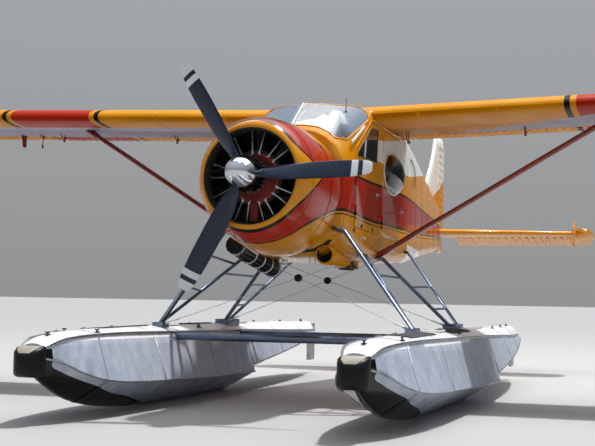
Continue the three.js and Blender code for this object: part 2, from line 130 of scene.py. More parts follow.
def grime(place, scale, low, high):
    noise = add("TexNoise", links={"Vector": place, "Scale": scale, "Detail": 4, "Roughness": 0.62})
    return add("MapRange", noise, 0.3, 0.72, low, high)


def mottled(place, scale, code, shadeCode, share=1):
    # two near shades that drift into each other
    return layered(code, (grime(place, scale, 0, share), shadeCode))


def relief(place, scale, detail, strength, deep, rough=0.5):
    # a fine unevenness, deep in metres
    noise = add("TexNoise", links={"Vector": place, "Scale": scale, "Detail": detail, "Roughness": rough})
    return add("Bump", links={"Strength": strength, "Distance": deep, "Height": noise})


def objectPlace(turn=(0, 0, 0), shift=(0, 0, 0)):
    return add("Mapping", add("TexCoord", out="Object"), shift, turn)


def onPaintwork():
    # the place in the airframe's own directions, whole and as across, back and high
    place = objectPlace((math.radians(3), 0, 0), (0, 3.8791, -2.0698))
    return [place, *add("SeparateXYZ", place).node.outputs]


def facingUp():
    return add("SeparateXYZ", add("NewGeometry", out="Normal"), out=2)


paint = {"gold": "#DC9002", "goldShade": "#C47E02", "red": "#A62204", "white": "#E4E2DC", "line": "#1C0A04",
         "wingLine": "#150D08", "underPanelInShade": "#9A95A6", "dirt": "#3A2A1A"}
# the painted lines on the nose and sides, seen along the thrust line: (height, back) and (back, height)
lipLine = [(-0.72, 0.16), (-0.52, 0.161), (-0.474, 0.161), (-0.4, 0.17), (-0.315, 0.188), (-0.204, 0.254),
           (-0.097, 0.353), (0, 0.48), (0.05, 0.53), (0.1, 0.43), (0.173, 0.302), (0.22, 0.243), (0.281, 0.191),
           (0.364, 0.171), (0.446, 0.174), (0.515, 0.188), (0.553, 0.2), (0.7, 0.22)]
topLine = [(0, 0.78), (0.2, 0.68), (0.25, 0.59), (0.286, 0.558), (0.35, 0.553), (0.414, 0.548), (0.522, 0.522),
           (0.581, 0.466), (0.688, 0.406), (0.929, 0.36), (1.215, 0.29), (1.5, 0.205), (1.985, 0.206), (2.834, 0.233),
           (3.798, 0.255), (4.898, 0.262), (6.74, 0.293), (8.6, 0.30)]
lowLine = [(0, -0.80), (0.25, -0.76), (0.33, -0.70), (0.39, -0.64), (0.427, -0.55), (0.479, -0.457), (0.625, -0.362),
           (0.877, -0.264), (1.061, -0.222), (1.181, -0.201), (1.474, -0.190), (2.142, -0.200), (3.1, -0.167),
           (3.837, -0.141), (4.64, -0.103), (6.74, 0.06), (8.6, 0.2)]
whiteFoot = [(0, 0.46), (2.4, 0.485), (4.03, 0.531), (4.51, 0.599), (5.7, 0.764), (8.6, 0.95)]
whiteHead = [(0, 0.72), (2.42, 0.715), (2.58, 0.728), (3.3, 0.845), (3.99, 0.957), (8.6, 1.0)]
sideSpan = (0, 9), (-1, 1)


def liveryColour():
    # gold over red, with white cabin sides
    place, across, back, high = onPaintwork()
    lip = add("Math", back, drawn(high, lipLine, (-0.75, 0.75), (0.1, 0.6)), **less)
    top = add("Math", drawn(back, topLine, *sideSpan), high, **less)
    low = add("Math", high, drawn(back, lowLine, *sideSpan), **less)
    pastLip, underTop, overLow = [add("Math", line, 0, **above) for line in (lip, top, low)]
    lines = ((lip, 0.016, underTop), (top, add("MapRange", back, 0.3, 0.9, 0.032, 0.012), pastLip),
             (low, add("MapRange", back, 0.35, 0.7, 0.032, 0.014), pastLip))
    edges = [combined(times, add("Math", add("Math", line, **size), wide, **below), beside)
             for line, wide, beside in lines]
    edges.append(combined(times, within(low, -0.048, -0.036), add("Math", back, 0.75, **above)))
    cabin = combined(times, add("Math", high, drawn(back, whiteFoot, *sideSpan), **above),
                     add("Math", back, 2.42, **above),
                     combined(most, add("Math", high, drawn(back, whiteHead, *sideSpan), **below),
                              add("Math", back, 3.99, **above)))
    belly = combined(times, add("Math", high, -0.3, **below), add("Math", back, 4.0, **above))
    return layered(mottled(place, 1.7, paint["gold"], paint["goldShade"]), (combined(most, cabin, belly), paint["white"]),
                   (combined(times, pastLip, underTop, overLow), paint["red"]),
                   (combined(most, *edges), paint["line"])), place


wingBands = {"red": (2.825, 3.86), "line": (2.70, 2.762), "farLine": (3.92, 3.982), "portShift": 0.04}


def wingColour():
    # gold with red bands across the span, and a pale panel under the wing behind the front spar: white paint given the
    # lavender-grey of its shade, as painted shade
    place, across, back, high = onPaintwork()
    port = add("Math", across, 0, **above)
    out = add("Math", port, wingBands["portShift"], add("Math", across, **size), **scaleAdd)
    slant = add("Math", port, 0.90, add("Math", out, -0.45, 3.055, **scaleAdd), **scaleAdd)
    # painted shade: downward faces behind the front spar take the lavender-grey of white paint in shade; on the left
    # wing the panel starts 0.9 further back
    pale = combined(times, within(back, combined(most, slant, 2.62), 3.42), add("Math", facingUp(), -0.4, **below))
    covered = add("Math", 1, pale, **less)
    red, line, farLine = [within(out, *wingBands[key]) for key in ("red", "line", "farLine")]
    return layered(mottled(place, 1.3, paint["gold"], paint["goldShade"]), (pale, paint["underPanelInShade"]),
                   (combined(times, red, covered), paint["red"]),
                   (combined(times, combined(most, line, farLine), covered), paint["wingLine"])), place


def finColour():
    # white above a line that rises to the rear, gold below it
    place, across, back, high = onPaintwork()
    white = add("Math", high, add("Math", back, 0.40, -2.414, **scaleAdd), **above)
    return layered(mottled(place, 1.7, paint["gold"], paint["goldShade"]), (white, paint["white"])), place


def plainColour(code, shadeCode):
    def source():
        place = objectPlace()
        return mottled(place, 2.2, code, shadeCode), place
    return source


tarLine = [(-5.2, 0.80), (-4.99, 0.62), (-4.93, 0.50), (-4.81, 0.446), (-4.575, 0.365), (-4.32, 0.30), (-4.0, 0.22),
           (-3.5, 0.14), (-3.0, 0.05), (-2.0, -0.1)]


def floatColour():
    # bare alclad sides with water stains, a white-painted deck and black tar paint low on the bow
    place = objectPlace()
    across, back, high = add("SeparateXYZ", place).node.outputs
    side = mottled(add("Mapping", place, links={"Scale": (3, 2.2, 0.5)}), 4, "#BCC4D2", "#9FA8B8")
    stain = add("TexNoise", links={"Vector": add("Mapping", place, links={"Scale": (6, 7, 0.35)}), "Scale": 3,
                                   "Detail": 5, "Roughness": 0.7})
    nose = combined(times, add("Math", back, -4.955, **below), add("Math", high, 0.655, **below))
    tar = combined(times, add("Math", high, drawn(back, tarLine, (-5.2, -2.0), (-0.2, 1)), **below),
                   add("Math", back, -2.9, **below))
    return layered(side, (add("MapRange", stain, 0.58, 0.8, 0, 0.4), "#A39680"),
                   (add("Math", facingUp(), 0.55, **above), "#E8EAEC"), (combined(most, nose, tar), "#08090A")), place


def bladeColour():
    # two white tip bands with a dark one between them, measured out from the hub
    place = objectPlace(shift=(0, 0, -2.27))
    across, back, high = add("SeparateXYZ", place).node.outputs
    out = add("Math", add("Math", *[add("Math", side, 2, **power) for side in (across, high)], **plus), operation="SQRT")
    white = combined(most, within(out, 1.035, 1.098), add("Math", out, 1.142, **above))
    return layered(mottled(place, 9, "#15203A", "#0F1729"), (grime(place, 30, 0, 0.35), "#3A4759"),
                   (white, "#D5D8DC")), place


def glossPaint(name, source, gloss=(0.16, 0.30), sheer=0.35, coated=0.12):
    # two-pack enamel over aluminium sheet: deep colour under a clear gloss that ripples between frames, 380 mm apart
    made = newMaterial(name)
    colour, place = source()
    # rain and exhaust dirt that runs down and back, 35 mm across and 270 mm along
    runs = add("TexNoise", links={"Vector": add("Mapping", place, links={"Scale": (9, 1.2, 2.2)}), "Scale": 3.1,
                                  "Detail": 6, "Roughness": 0.7})
    colour = layered(colour, (add("MapRange", runs, 0.52, 0.8, 0, 0.18), paint["dirt"]))
    finish(colour, relief(place, 2.6, 2, 0.35, 0.006), Roughness=grime(place, 5, *gloss), Specular_IOR_Level=sheer,
           Coat_Weight=coated, Coat_Roughness=0.06, IOR=1.42)
    return made


def metal(name, code, rough, grain, metallic=1.0, tint="#4C4A48"):
    # bare or polished metal with hand marks; grain 50 is a scratch every 20 mm, coarser than real ones so that it shows
    made, place = newMaterial(name), objectPlace()
    finish(mottled(place, grain * 0.2, code, tint, 0.6), relief(place, grain, 8, 0.3, 0.0004, 0.75), Metallic=metallic,
           Roughness=grime(place, grain * 0.5, rough, rough + 0.16))
    return made


def dull(name, code, shadeCode, rough, grain=40, **more):
    # surfaces with no clear coat; grain 220 is grit every 4.5 mm, twice as coarse as the real walkway's
    made, place = newMaterial(name), objectPlace()
    finish(mottled(place, grain * 0.12, code, shadeCode), relief(place, grain, 6, 0.5, 0.0006, 0.7),
           Roughness=grime(place, grain * 0.3, rough, min(1, rough + 0.15)), **more)
    return made


def acrylic(name, tint, clear, glareTint=None):
    # blown acrylic sheet: it mirrors the sky; where a glare tint is given, the sky's glare is painted into its colour
    # as a whitish tint, strongest across the left pane
    made, place = newMaterial(name), objectPlace()
    if glareTint:
        across = add("SeparateXYZ", place)
        # painted glare: a whitish tint across the left pane, broken up by noise, that stands for the bright sky it
        # reflects
        glareMask = combined(times, add("MapRange", across, -0.06, 0.04), add("MapRange", across, 0.30, 0.56, 1, 0.15),
                        grime(place, 5, 0.75, 1))
        tint = layered(tint, (glareMask, glareTint))
    finish(tint, Roughness=grime(place, 3, 0.02, 0.09), Transmission_Weight=clear, IOR=1.49, Coat_Weight=0.5,
           Coat_Roughness=0.03)
    return made


def vinyl(name, code, shadeCode):
    # leathercloth on a knitted back: a pebble grain 2 mm across, rubbed in patches of 160 mm, with a low sheen
    made, place = newMaterial(name), objectPlace()
    pebbles = add("TexVoronoi", links={"Vector": place, "Scale": 420}, out="Distance")
    grain = add("Bump", links={"Strength": 0.5, "Distance": 0.0008, "Height": pebbles})
    finish(mottled(place, 6, code, shadeCode), grain, Roughness=grime(place, 18, 0.42, 0.6), Sheen_Weight=0.15)
    return made


materials = {
    # gold, red and white enamel on sheet: clear sharp highlights
    "bodyPaint": glossPaint("enamelBody", liveryColour),
    # the same enamel, chalked by sun and salt: soft broad highlights
    "wingPaint": glossPaint("enamelWing", wingColour, gloss=(0.34, 0.5), sheer=0.12, coated=0.0),
    # plain gold enamel for trim and tail
    "goldPaint": glossPaint("enamelGold", plainColour(paint["gold"], paint["goldShade"])),
    # white and gold enamel on the fin
    "finPaint": glossPaint("enamelFin", finColour),
    # white enamel, slightly warm with age
    "whitePaint": glossPaint("enamelWhite", plainColour("#E4E2DC", "#D2CFC6")),
    # dark red enamel on extruded tube
    "strutPaint": glossPaint("enamelStrutRed", plainColour("#8E2A17", "#6E1D10")),
    # blue-black blade enamel, rubbed pale in places, with white tips
    "bladePaint": glossPaint("bladeEnamel", bladeColour),
    # alclad sheet gone matt and streaky in water, with white decks
    "floatSkin": glossPaint("alcladFloat", floatColour),
    # polished plate: a mirror for sky and floor
    "chrome": metal("chromePlate", "#D4D8DE", 0.03, 12, tint="#B4B9C2"),
    # mill-finish aluminium, dull grey with hand marks
    "bareMetal": metal("bareAluminium", "#B4B9C0", 0.3, 60),
    # streamline steel tube with a blue-grey oily sheen
    "polished": metal("polishedStreamline", "#7C899E", 0.34, 30, tint="#566274"),
    # thin bright tube, satin
    "steel": metal("stainlessTube", "#E2E5EA", 0.24, 50, metallic=0.7, tint="#B0B4BA"),
    # black enamel on cast fins: near black with soft edges
    "finMetal": dull("enamelledCylinder", "#1B1B1C", "#2C2A28", 0.45, Metallic=0.5),
    # red-brown enamel on a cast crankcase
    "caseMetal": dull("crankcaseEnamel", "#8A2C1E", "#541A12", 0.4, Metallic=0.2),
    # steel browned by exhaust heat, rough and dark
    "heatedSteel": metal("heatedSteel", "#2E2C26", 0.42, 70, tint="#17130F"),
    # near-black sooty primer: painted shade in the oil-cooler duct, the cowling's bore and the slot behind the cowling;
    # also the cooling baffle's finish
    "sootAndPaintedShade": dull("sootedPrimerAndPaintedShade", "#1A1C1A", "#26251F", 0.7, grain=30),
    # grey fabric lining: dark behind glass
    "lining": dull("cabinLining", "#2B2C2E", "#37383B", 0.8, grain=120),
    # wet-looking black moulded rubber
    "rubber": dull("blackRubber", "#050506", "#0A0A0C", 0.34, Specular_IOR_Level=0.25),
    # the same rubber painted pale on the bumpers' upward faces: painted light on their tops
    "rubberTopPaintedLight": dull("rubberTopsPaintedPale", "#A89F92", "#8B8479", 0.7),
    # rubber glazing strip, matt black
    "seal": dull("rubberSeal", "#17181A", "#26282B", 0.55),
    # gritted walkway coat: dull with a coarse tooth
    "deckGrip": dull("deckWalkway", "#2C2F34", "#3A3E44", 0.85, grain=220),
    # thick blown sheet, with the sky's glare painted whitish on the left pane
    "glazing": acrylic("acrylicSheet", "#8CA0BA", 0.62, glareTint="#FBFCFD"),
    # smoked acrylic, dark with clear mirror edges
    "sideGlazing": acrylic("sideAcrylic", "#4A5A6C", 0.93),
    # red moulded lens
    "redLens": dull("redLampLens", "#8E1414", "#6E0E0E", 0.12),
    # green moulded lens
    "greenLens": dull("greenLampLens", "#0F6A3A", "#0B5230", 0.12),
    # brown-grey leathercloth, pebbled
    "seatCover": vinyl("seatVinyl", "#4A4440", "#3A3532"),
    # black wrinkle-coated panel sheet
    "darkPlastic": dull("mouldedPanel", "#1D1E20", "#2A2C2F", 0.6),
}
print("materials made:", len(materials))

# Mesh helpers
hub = Vector((0, -3.7655, 2.27))
noseUp = Matrix.Rotation(-math.radians(3), 4, "X")
onHub = Matrix.Translation(hub) @ noseUp
fromModel = onHub.inverted()
rearward = noseUp.to_3x3() @ Vector((0, 1, 0))
mirrorX = Matrix.Scale(-1, 4, (1, 0, 0))
quarterTurn = math.radians(90)
mergeGap = 0.00002


def onAirframe(x, back, high):
    # from airframe measures to the model's frame
    return onHub @ Vector((x, back, high))


def mode(name):
    bpy.ops.object.mode_set(mode=name)


def select(action):
    bpy.ops.mesh.select_all(action=action)


def about(place, turn, axis):
    # a turn about a place
    return Matrix.Translation(place) @ Matrix.Rotation(turn, 4, axis) @ Matrix.Translation(-place)


def deselect():
    if bpy.context.object and bpy.context.object.mode != "OBJECT":
        mode("OBJECT")
    bpy.ops.object.select_all(action="DESELECT")


def only(piece):
    deselect()
    piece.select_set(True)
    bpy.context.view_layer.objects.active = piece


def edit(piece):
    # into edit mode with everything selected
    only(piece)
    mode("EDIT")
    select("SELECT")


def done(piece):
    mode("OBJECT")
    return piece


def frozen(piece):
    # place, turn and size go into the mesh
    only(piece)
    bpy.ops.object.transform_apply(location=True, rotation=True, scale=True)
    return piece


def linked(name, data):
    piece = bpy.data.objects.new(name, data)
    bpy.context.scene.collection.objects.link(piece)
    return piece


def shaped(piece, kind, **settings):
    # one modifier, set and applied
    only(piece)
    tool = piece.modifiers.new("shape", kind)
    for key, value in settings.items():
        setattr(tool, key, value)
    bpy.ops.object.modifier_apply(modifier=tool.name)
    return piece


def softened(piece, width, segments=2):
    return shaped(piece, "BEVEL", width=width, segments=segments, limit_method="ANGLE", angle_limit=math.radians(40))


def joined(pieces):
    if not isinstance(pieces, list):
        return pieces
    deselect()
    for piece in pieces:
        piece.select_set(True)
    bpy.context.view_layer.objects.active = pieces[0]
    if len(pieces) > 1:
        bpy.ops.object.join()
    return pieces[0]


def moved(piece, matrix):
    piece = joined(piece)
    piece.matrix_world = matrix @ piece.matrix_world
    return frozen(piece)


def atHub(piece):
    return moved(piece, onHub)


def settle(piece, name, material, body="airframe", smooth=30):
    # named, smoothed and dressed, and it rides on its body
    piece = frozen(joined(piece))
    piece.name = piece.data.name = name
    bpy.ops.object.shade_smooth_by_angle(angle=math.radians(smooth))
    piece.data.materials.clear()
    piece.data.materials.append(materials[material])
    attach(piece, body)
    return piece


def copied(piece, matrix):
    made = piece.copy()
    made.data = piece.data.copy()
    bpy.context.scene.collection.objects.link(made)
    return moved(made, matrix)


def rowOf(one, turns):
    # a copy at every place, and the first one removed
    made = [copied(one, turn) for turn in turns]
    bpy.data.objects.remove(one)
    return made


def outward(piece):
    edit(piece)
    bpy.ops.mesh.remove_doubles(threshold=mergeGap)
    bpy.ops.mesh.normals_make_consistent(inside=False)
    return done(piece)


def paired(piece, name, material, body=None, smooth=30):
    # the left one as made and its mirror image, each on its own side's body
    left, right = [f"{body}_{side}" if body else "airframe" for side in hands]
    first = settle(piece, f"{name}_left", material, left, smooth)
    return first, settle(outward(copied(first, mirrorX)), f"{name}_right", material, right, smooth)


def nodeCopy(node, name):
    # a copy of a CAD node, its loose triangles merged
    piece = linked(name, nodes[node].data.copy())
    edit(piece)
    bpy.ops.mesh.remove_doubles(threshold=mergeGap)
    return done(piece)


def pick(piece, test):
    # points selected by place or number, ready for an edit-mode tool
    edit(piece)
    bpy.ops.mesh.select_mode(type="VERT")
    select("DESELECT")
    for point in done(piece).data.vertices:
        point.select = test(point)
    mode("EDIT")


def pickSharp(angle):
    # in edit mode: the edges between faces that meet at more than the angle
    bpy.ops.mesh.select_mode(type="EDGE")
    select("DESELECT")
    bpy.ops.mesh.edges_select_sharp(sharpness=math.radians(angle))


def coat(piece, material, test):
    # a second finish on some of a piece's faces
    piece.data.materials.append(materials[material])
    for face in piece.data.polygons:
        if test(face):
            face.material_index = len(piece.data.materials) - 1


def closeEnds(piece):
    edit(piece)
    bpy.ops.mesh.region_to_loop()
    bpy.ops.mesh.edge_face_add()
    select("SELECT")
    bpy.ops.mesh.normals_make_consistent(inside=False)
    return done(piece)


def ringAt(place, turn, sides, radius=1.0):
    # a ring of points, ready to be extruded in edit mode
    deselect()
    bpy.ops.mesh.primitive_circle_add(vertices=sides, radius=radius, location=place, rotation=turn)
    piece = frozen(bpy.context.object)
    edit(piece)
    return piece


def turned(table, sides):
    # a shell turned about the thrust line: (back, radius) rows, extruded ring by ring
    back, radius = table[0]
    piece = ringAt((0, back, 0), (quarterTurn, 0, 0), sides, radius)
    for (back, radius), (nextBack, nextRadius) in zip(table, table[1:]):
        bpy.ops.mesh.extrude_edges_move(TRANSFORM_OT_translate={"value": (0, nextBack - back, 0)})
        scale = nextRadius / radius
        bpy.ops.transform.resize(value=(scale, 1, scale), center_override=(0, nextBack, 0))
    return done(piece)


def bridged(piece, sides, rings):
    # the first and last rings joined, so that the shell is closed
    pick(piece, lambda v: v.index < sides or v.index >= (rings - 1) * sides)
    bpy.ops.mesh.bridge_edge_loops()
    return outward(piece)


def tube(start, end, radius, sides=16, wide=None, bevel=0.0):
    # a round or streamlined bar between two points
    start, end = Vector(start), Vector(end)
    along = (end - start).normalized()
    deselect()
    bpy.ops.mesh.primitive_cylinder_add(vertices=sides, radius=radius, depth=(end - start).length)
    piece = bpy.context.object
    if wide:
        piece.scale = (1, wide / radius, 1)
        frozen(piece)
    back = Vector((0, 1, 0)) if abs(along.y) < 0.999 else Vector((0, 0, 1))
    across = back.cross(along).normalized()
    flat = along.cross(across).normalized()
    piece.matrix_world = Matrix.Translation((start + end) / 2) @ Matrix((across, flat, along)).transposed().to_4x4()
    frozen(piece)
    return softened(piece, bevel) if bevel else piece


def block(low, high, bevel=0.0):
    deselect()
    low, high = Vector(low), Vector(high)
    bpy.ops.mesh.primitive_cube_add(size=1, location=(low + high) / 2)
    piece = bpy.context.object
    piece.scale = high - low
    frozen(piece)
    return softened(piece, bevel) if bevel else piece


def blockAt(centre, low, high, bevel):
    return block(centre + Vector(low), centre + Vector(high), bevel)


def tubeAt(centre, low, high, radius, **more):
    return tube(centre + Vector(low), centre + Vector(high), radius, **more)


def onPlane(place):
    # where a small part made at the origin is set on the airframe
    return Matrix.Translation(onAirframe(*place)) @ noseUp


def pipe(points, radius, cyclic=False, smooth=True, sides=3):
    # a bent tube through the points
    curve = bpy.data.curves.new("route", "CURVE")
    curve.dimensions = "3D"
    curve.bevel_depth, curve.bevel_resolution, curve.use_fill_caps = radius, sides, True
    curve.resolution_u = 5 if smooth else 1
    line = curve.splines.new("BEZIER")
    line.bezier_points.add(len(points) - 1)
    for spot, place in zip(line.bezier_points, points):
        spot.co = place
        spot.handle_left_type = spot.handle_right_type = "AUTO" if smooth else "VECTOR"
    line.use_cyclic_u = cyclic
    only(linked("route", curve))
    bpy.ops.object.convert(target="MESH")
    return bpy.context.object


def airTube(start, end, radius, **more):
    return tube(onAirframe(*start), onAirframe(*end), radius, **more)


def airPipe(points, radius, **more):
    return pipe([onAirframe(*p) for p in points], radius, **more)


def ringPoints(x, back, high, radius, count, start=0.0):
    # points round a circle that faces forward
    angles = [math.tau * (i + start) / count for i in range(count)]
    return [(x + radius * math.cos(a), back, high + radius * math.sin(a)) for a in angles]


# CAD nodes that keep their shape, with smooth shading and real finishes
skins = {
    "fuselage_shell": ("cabinSkin", "bodyPaint"), "tail_cone": ("tailConeSkin", "bodyPaint"),
    "fin": ("finSkin", "finPaint"), "rudder": ("rudderSkin", "finPaint", "rudder"),
    "tailplane": ("tailplaneSkin", "goldPaint"), "windshield": ("windshieldPanes", "glazing"),
    "instrument_panel": ("instrumentPanelSkin", "darkPlastic"), "nose_scoop": ("ductSkin", "goldPaint"),
    "exhaust_pipe": ("muffSkin", "heatedSteel"), "spreader_bar_front": ("spreaderFrontSkin", "polished"),
    "spreader_bar_rear": ("spreaderRearSkin", "polished")}
pairedSkins = {
    "crew_door": ("crewDoorSkin", "bodyPaint", "crew_door"), "crew_window": ("crewPane", "sideGlazing", "crew_door"),
    "cabin_door": ("cabinDoorSkin", "bodyPaint", "cabin_door"),
    "bubble_window": ("bubblePane", "sideGlazing", "cabin_door"), "wing": ("wingSkin", "wingPaint"),
    "flap": ("flapSkin", "wingPaint", "flap"), "aileron": ("aileronSkin", "wingPaint", "aileron"),
    "wing_strut": ("wingStrutSkin", "strutPaint"), "elevator": ("elevatorSkin", "goldPaint", "elevator"),
    "float": ("floatSkin", "floatSkin"), "float_bumper": ("bumperSkin", "rubber"),
    "float_struts": ("floatStrutSkin", "polished"), "water_rudder": ("waterRudderSkin", "bareMetal", "water_rudder")}
for side in hands:
    for node, (name, material, *body) in pairedSkins.items():
        skins[f"{node}_{side}"] = (f"{name}_{side}", material, *[f"{part}_{side}" for part in body])
dressed = {}
for node, (name, *dress) in skins.items():
    dressed[name] = settle(nodeCopy(node, name), name, *dress, smooth=32)
    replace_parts(dressed[name], node)

lining = {"reach": 0.6175, "middle": 0.28, "shell": 0.30, "doors": 0.5}


def facesIn(face, share):
    # looks in at the cabin's middle
    place = fromModel @ face.center
    out = face.center - onAirframe(0, place.y, lining["middle"])
    return abs(place.x) < lining["reach"] and face.normal.dot(Vector((out.x, 0, out.z)).normalized()) < -share


coat(dressed["cabinSkin"], "lining", lambda face: facesIn(face, lining["shell"]))
for side in hands:
    for door in ("crewDoorSkin", "cabinDoorSkin"):
        coat(dressed[f"{door}_{side}"], "lining", lambda face: facesIn(face, lining["doors"]))
print("CAD skins dressed:", len(skins))

# Nose: back, radius, and reach below the thrust line where the ring is not round
cowl = {"sides": 120, "narrow": 0.965, "bore": 0.61, "rows": [
    (1.195, 0.606, 0.660), (1.15, 0.615, 0.676), (1.1, 0.622, 0.688), (0.95, 0.630, 0.690), (0.82, 0.632, 0.688),
    (0.64, 0.628, 0.664), (0.46, 0.619, 0.631), (0.38, 0.608, 0.612), (0.30, 0.592, 0.592), (0.24, 0.572, 0.572),
    (0.19, 0.546, 0.546), (0.16, 0.525, 0.525), (0.14, 0.503, 0.503), (0.131, 0.488, 0.488), (0.128, 0.476, 0.476),
    (0.132, 0.464, 0.464), (0.15, 0.450, 0.450), (0.18, 0.443, 0.443), (0.23, 0.441, 0.441), (0.285, 0.450, 0.450),
    (0.335, 0.562, 0.562), (0.42, 0.586, 0.592), (0.82, 0.606, 0.662), (1.1, 0.597, 0.663), (1.19, 0.588, 0.642)]}


def ovalShell(rows, narrowed):
    # a closed ring of the cowling's section: narrowed across, and let down below the thrust line
    sides = cowl["sides"]
    piece = turned([row[:2] for row in rows], sides)
    for number, (back, radius, reach) in enumerate(rows):
        ring = range(number * sides, (number + 1) * sides)
        pick(piece, lambda v: v.index in ring)
        bpy.ops.transform.resize(value=(narrowed(radius), 1, 1), center_override=(0, back, 0))
        pick(piece, lambda v: v.index in ring and v.co.z < -0.001)
        bpy.ops.transform.resize(value=(1, 1, reach / radius), center_override=(0, back, 0))
    return atHub(bridged(piece, sides, len(rows)))


shell = ovalShell(cowl["rows"], lambda radius: 1 - (1 - cowl["narrow"]) * min(1, max(0, (radius - 0.47) / 0.06)))
settle(shell, "cowling", "bodyPaint", smooth=50)
# the cowling's bore painted near black: painted shade inside the opening
coat(shell, "sootAndPaintedShade", lambda f: (fromModel @ f.center).xz.length < cowl["bore"]
     and f.normal.dot(noseUp @ Vector((f.center.x, 0, f.center.z - hub.z)).normalized()) < -0.55)
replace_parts(shell, "engine_cowling")

seam = {"backs": (0.325, 0.80), "width": 0.022, "proud": 0.0022, "sunk": -0.002}


def cowlSize(where):
    # the outer skin's radius and low reach at a place along it
    for (backA, rA, lowA), (backB, rB, lowB) in zip(cowl["rows"], cowl["rows"][1:12]):
        if backB <= where <= backA:
            t = (backA - where) / (backA - backB)
            return rA + (rB - rA) * t, lowA + (lowB - lowA) * t


for number, front in enumerate(seam["backs"]):
    # a lap joint: a thin strap that follows the cowling round
    rear, strap = front + seam["width"], []
    for where, lift in ((front, seam["sunk"]), (front, seam["proud"]), (rear, seam["proud"]), (rear, seam["sunk"])):
        radius, reach = cowlSize(where)
        strap.append((where, radius + lift, reach + lift))
    band = ovalShell(strap, lambda radius: cowl["narrow"] + seam["proud"] / 0.6)
    settle(band, f"cowlBand{number}", "bodyPaint", smooth=50)


def slicedSkin(node, name, place, normal, width):
    # the slice of a CAD skin between two planes
    piece = nodeCopy(node, name)
    edit(piece)
    bpy.ops.mesh.bisect(plane_co=place, plane_no=normal, clear_inner=True)
    select("SELECT")
    bpy.ops.mesh.bisect(plane_co=place + normal * width, plane_no=normal, clear_outer=True)
    return done(piece)


# the open slot low behind the cowling, where cooling air leaves: a near-black sheet stands in it as painted shade in
# the gap
exitGap = {"back": 1.216, "width": 0.05, "below": -0.50, "thick": 0.004}
slot = slicedSkin("fuselage_shell", "cowlExitShadeSheet", onAirframe(0, exitGap["back"], 0), rearward, exitGap["width"])
edit(slot)
bpy.ops.mesh.bisect(plane_co=onAirframe(0, 1.2, exitGap["below"]), plane_no=(0, 0, 1), clear_outer=True)
settle(shaped(slot, "SOLIDIFY", thickness=exitGap["thick"], offset=0.75), "cowlExitShadeSheet", "sootAndPaintedShade", smooth=50)
print("cowling made")

# Engine: a nine-cylinder radial, modelled once for a cylinder and copied round
crankcase = {"sides": 64, "rows": [
    (0.130, 0.046), (0.130, 0.088), (0.138, 0.096), (0.165, 0.104), (0.186, 0.124), (0.190, 0.152), (0.206, 0.155),
    (0.212, 0.147), (0.240, 0.166), (0.265, 0.190), (0.290, 0.214), (0.294, 0.246), (0.316, 0.248), (0.322, 0.234),
    (0.38, 0.238), (0.55, 0.238), (0.80, 0.232)]}
case = closeEnds(atHub(turned(crankcase["rows"], crankcase["sides"])))
settle(case, "crankcase", "caseMetal", smooth=35)
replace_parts(case, "engine")

# fins run from low to high: pitch, core and rim radius
cylinder = {"count": 9, "sides": 26, "back": 0.445, "foot": (0.20, 0.074),
            "barrel": (0.245, 0.418, 0.0115, 0.066, 0.085), "head": (0.43, 0.505, 0.0125, 0.076, 0.097),
            "dome": [(0.512, 0.092), (0.528, 0.076), (0.54, 0.05), (0.545, 0.02)],
            "rocker": 0.068, "rodFoot": 0.236, "rodSpread": math.radians(8)}


def finRows(low, high, pitch, core, rim):
    rows, step = [], ((0, core), (0.62, core), (0.66, rim), (0.92, rim), (0.96, core))
    while low + pitch < high:
        rows += [(low + pitch * share, radius) for share, radius in step]
        low += pitch
    return rows


rows = [cylinder["foot"], *finRows(*cylinder["barrel"]), *finRows(*cylinder["head"]), *cylinder["dome"]]
cast = [moved(closeEnds(turned(rows, cylinder["sides"])), Matrix.Rotation(quarterTurn, 4, "X"))]
bright = []
for hand in (-1, 1):
    x = hand * cylinder["rocker"]
    cast.append(block((x - 0.030, -0.092, 0.462), (x + 0.030, -0.012, 0.536), bevel=0.012))
    foot = Vector((cylinder["rodFoot"] * math.sin(hand * cylinder["rodSpread"]), -0.158,
                   cylinder["rodFoot"] * math.cos(cylinder["rodSpread"])))
    top = Vector((x, -0.090, 0.478))
    bright += [tube(foot, top, 0.0068, sides=14), tube(foot, foot.lerp(top, 0.06), 0.0135, sides=6),
               tube(foot.lerp(top, 0.9), top, 0.0125, sides=14)]
bright.append(tube((0, -0.080, 0.452), (0, -0.128, 0.458), 0.010, sides=6))
around = [onHub @ Matrix.Translation((0, cylinder["back"], 0))
          @ Matrix.Rotation(math.tau / cylinder["count"] * number, 4, "Y") for number in range(cylinder["count"])]
settle(rowOf(joined(cast), around), "cylinders", "finMetal", smooth=35)
settle(rowOf(joined(bright), around), "pushRodTubes", "steel", smooth=35)

sump = {"low": (-0.044, 0.278, -0.425), "high": (0.044, 0.42, -0.225), "ribs": (-0.033, -0.011, 0.011, 0.033)}
parts = [block(sump["low"], sump["high"], bevel=0.014)]
parts += [block((x - 0.003, 0.270, -0.415), (x + 0.003, 0.288, -0.230), bevel=0.002) for x in sump["ribs"]]
settle(atHub(parts), "oilSump", "caseMetal")

# rings of studs: count, radius, front, back, size, first place
studs = [(18, 0.232, 0.283, 0.298, 0.008, 0), (12, 0.140, 0.181, 0.195, 0.007, 0.5)]
parts = [tube((x, rear, z), (x, front, z), wide, sides=6) for count, radius, front, rear, wide, first in studs
         for x, y, z in ringPoints(0, 0, 0, radius, count, first)]
parts.append(tube((0, 0.08, 0), (0, 0.14, 0), 0.0445, sides=32))
settle(atHub(parts), "caseStuds", "steel")

baffle = {"sides": 72, "rows": [(0.56, 0.238), (0.56, 0.572), (0.566, 0.572), (0.566, 0.238)]}
plate = bridged(turned(baffle["rows"], baffle["sides"]), baffle["sides"], 4)
settle(atHub(plate), "coolingBaffle", "sootAndPaintedShade", smooth=40)

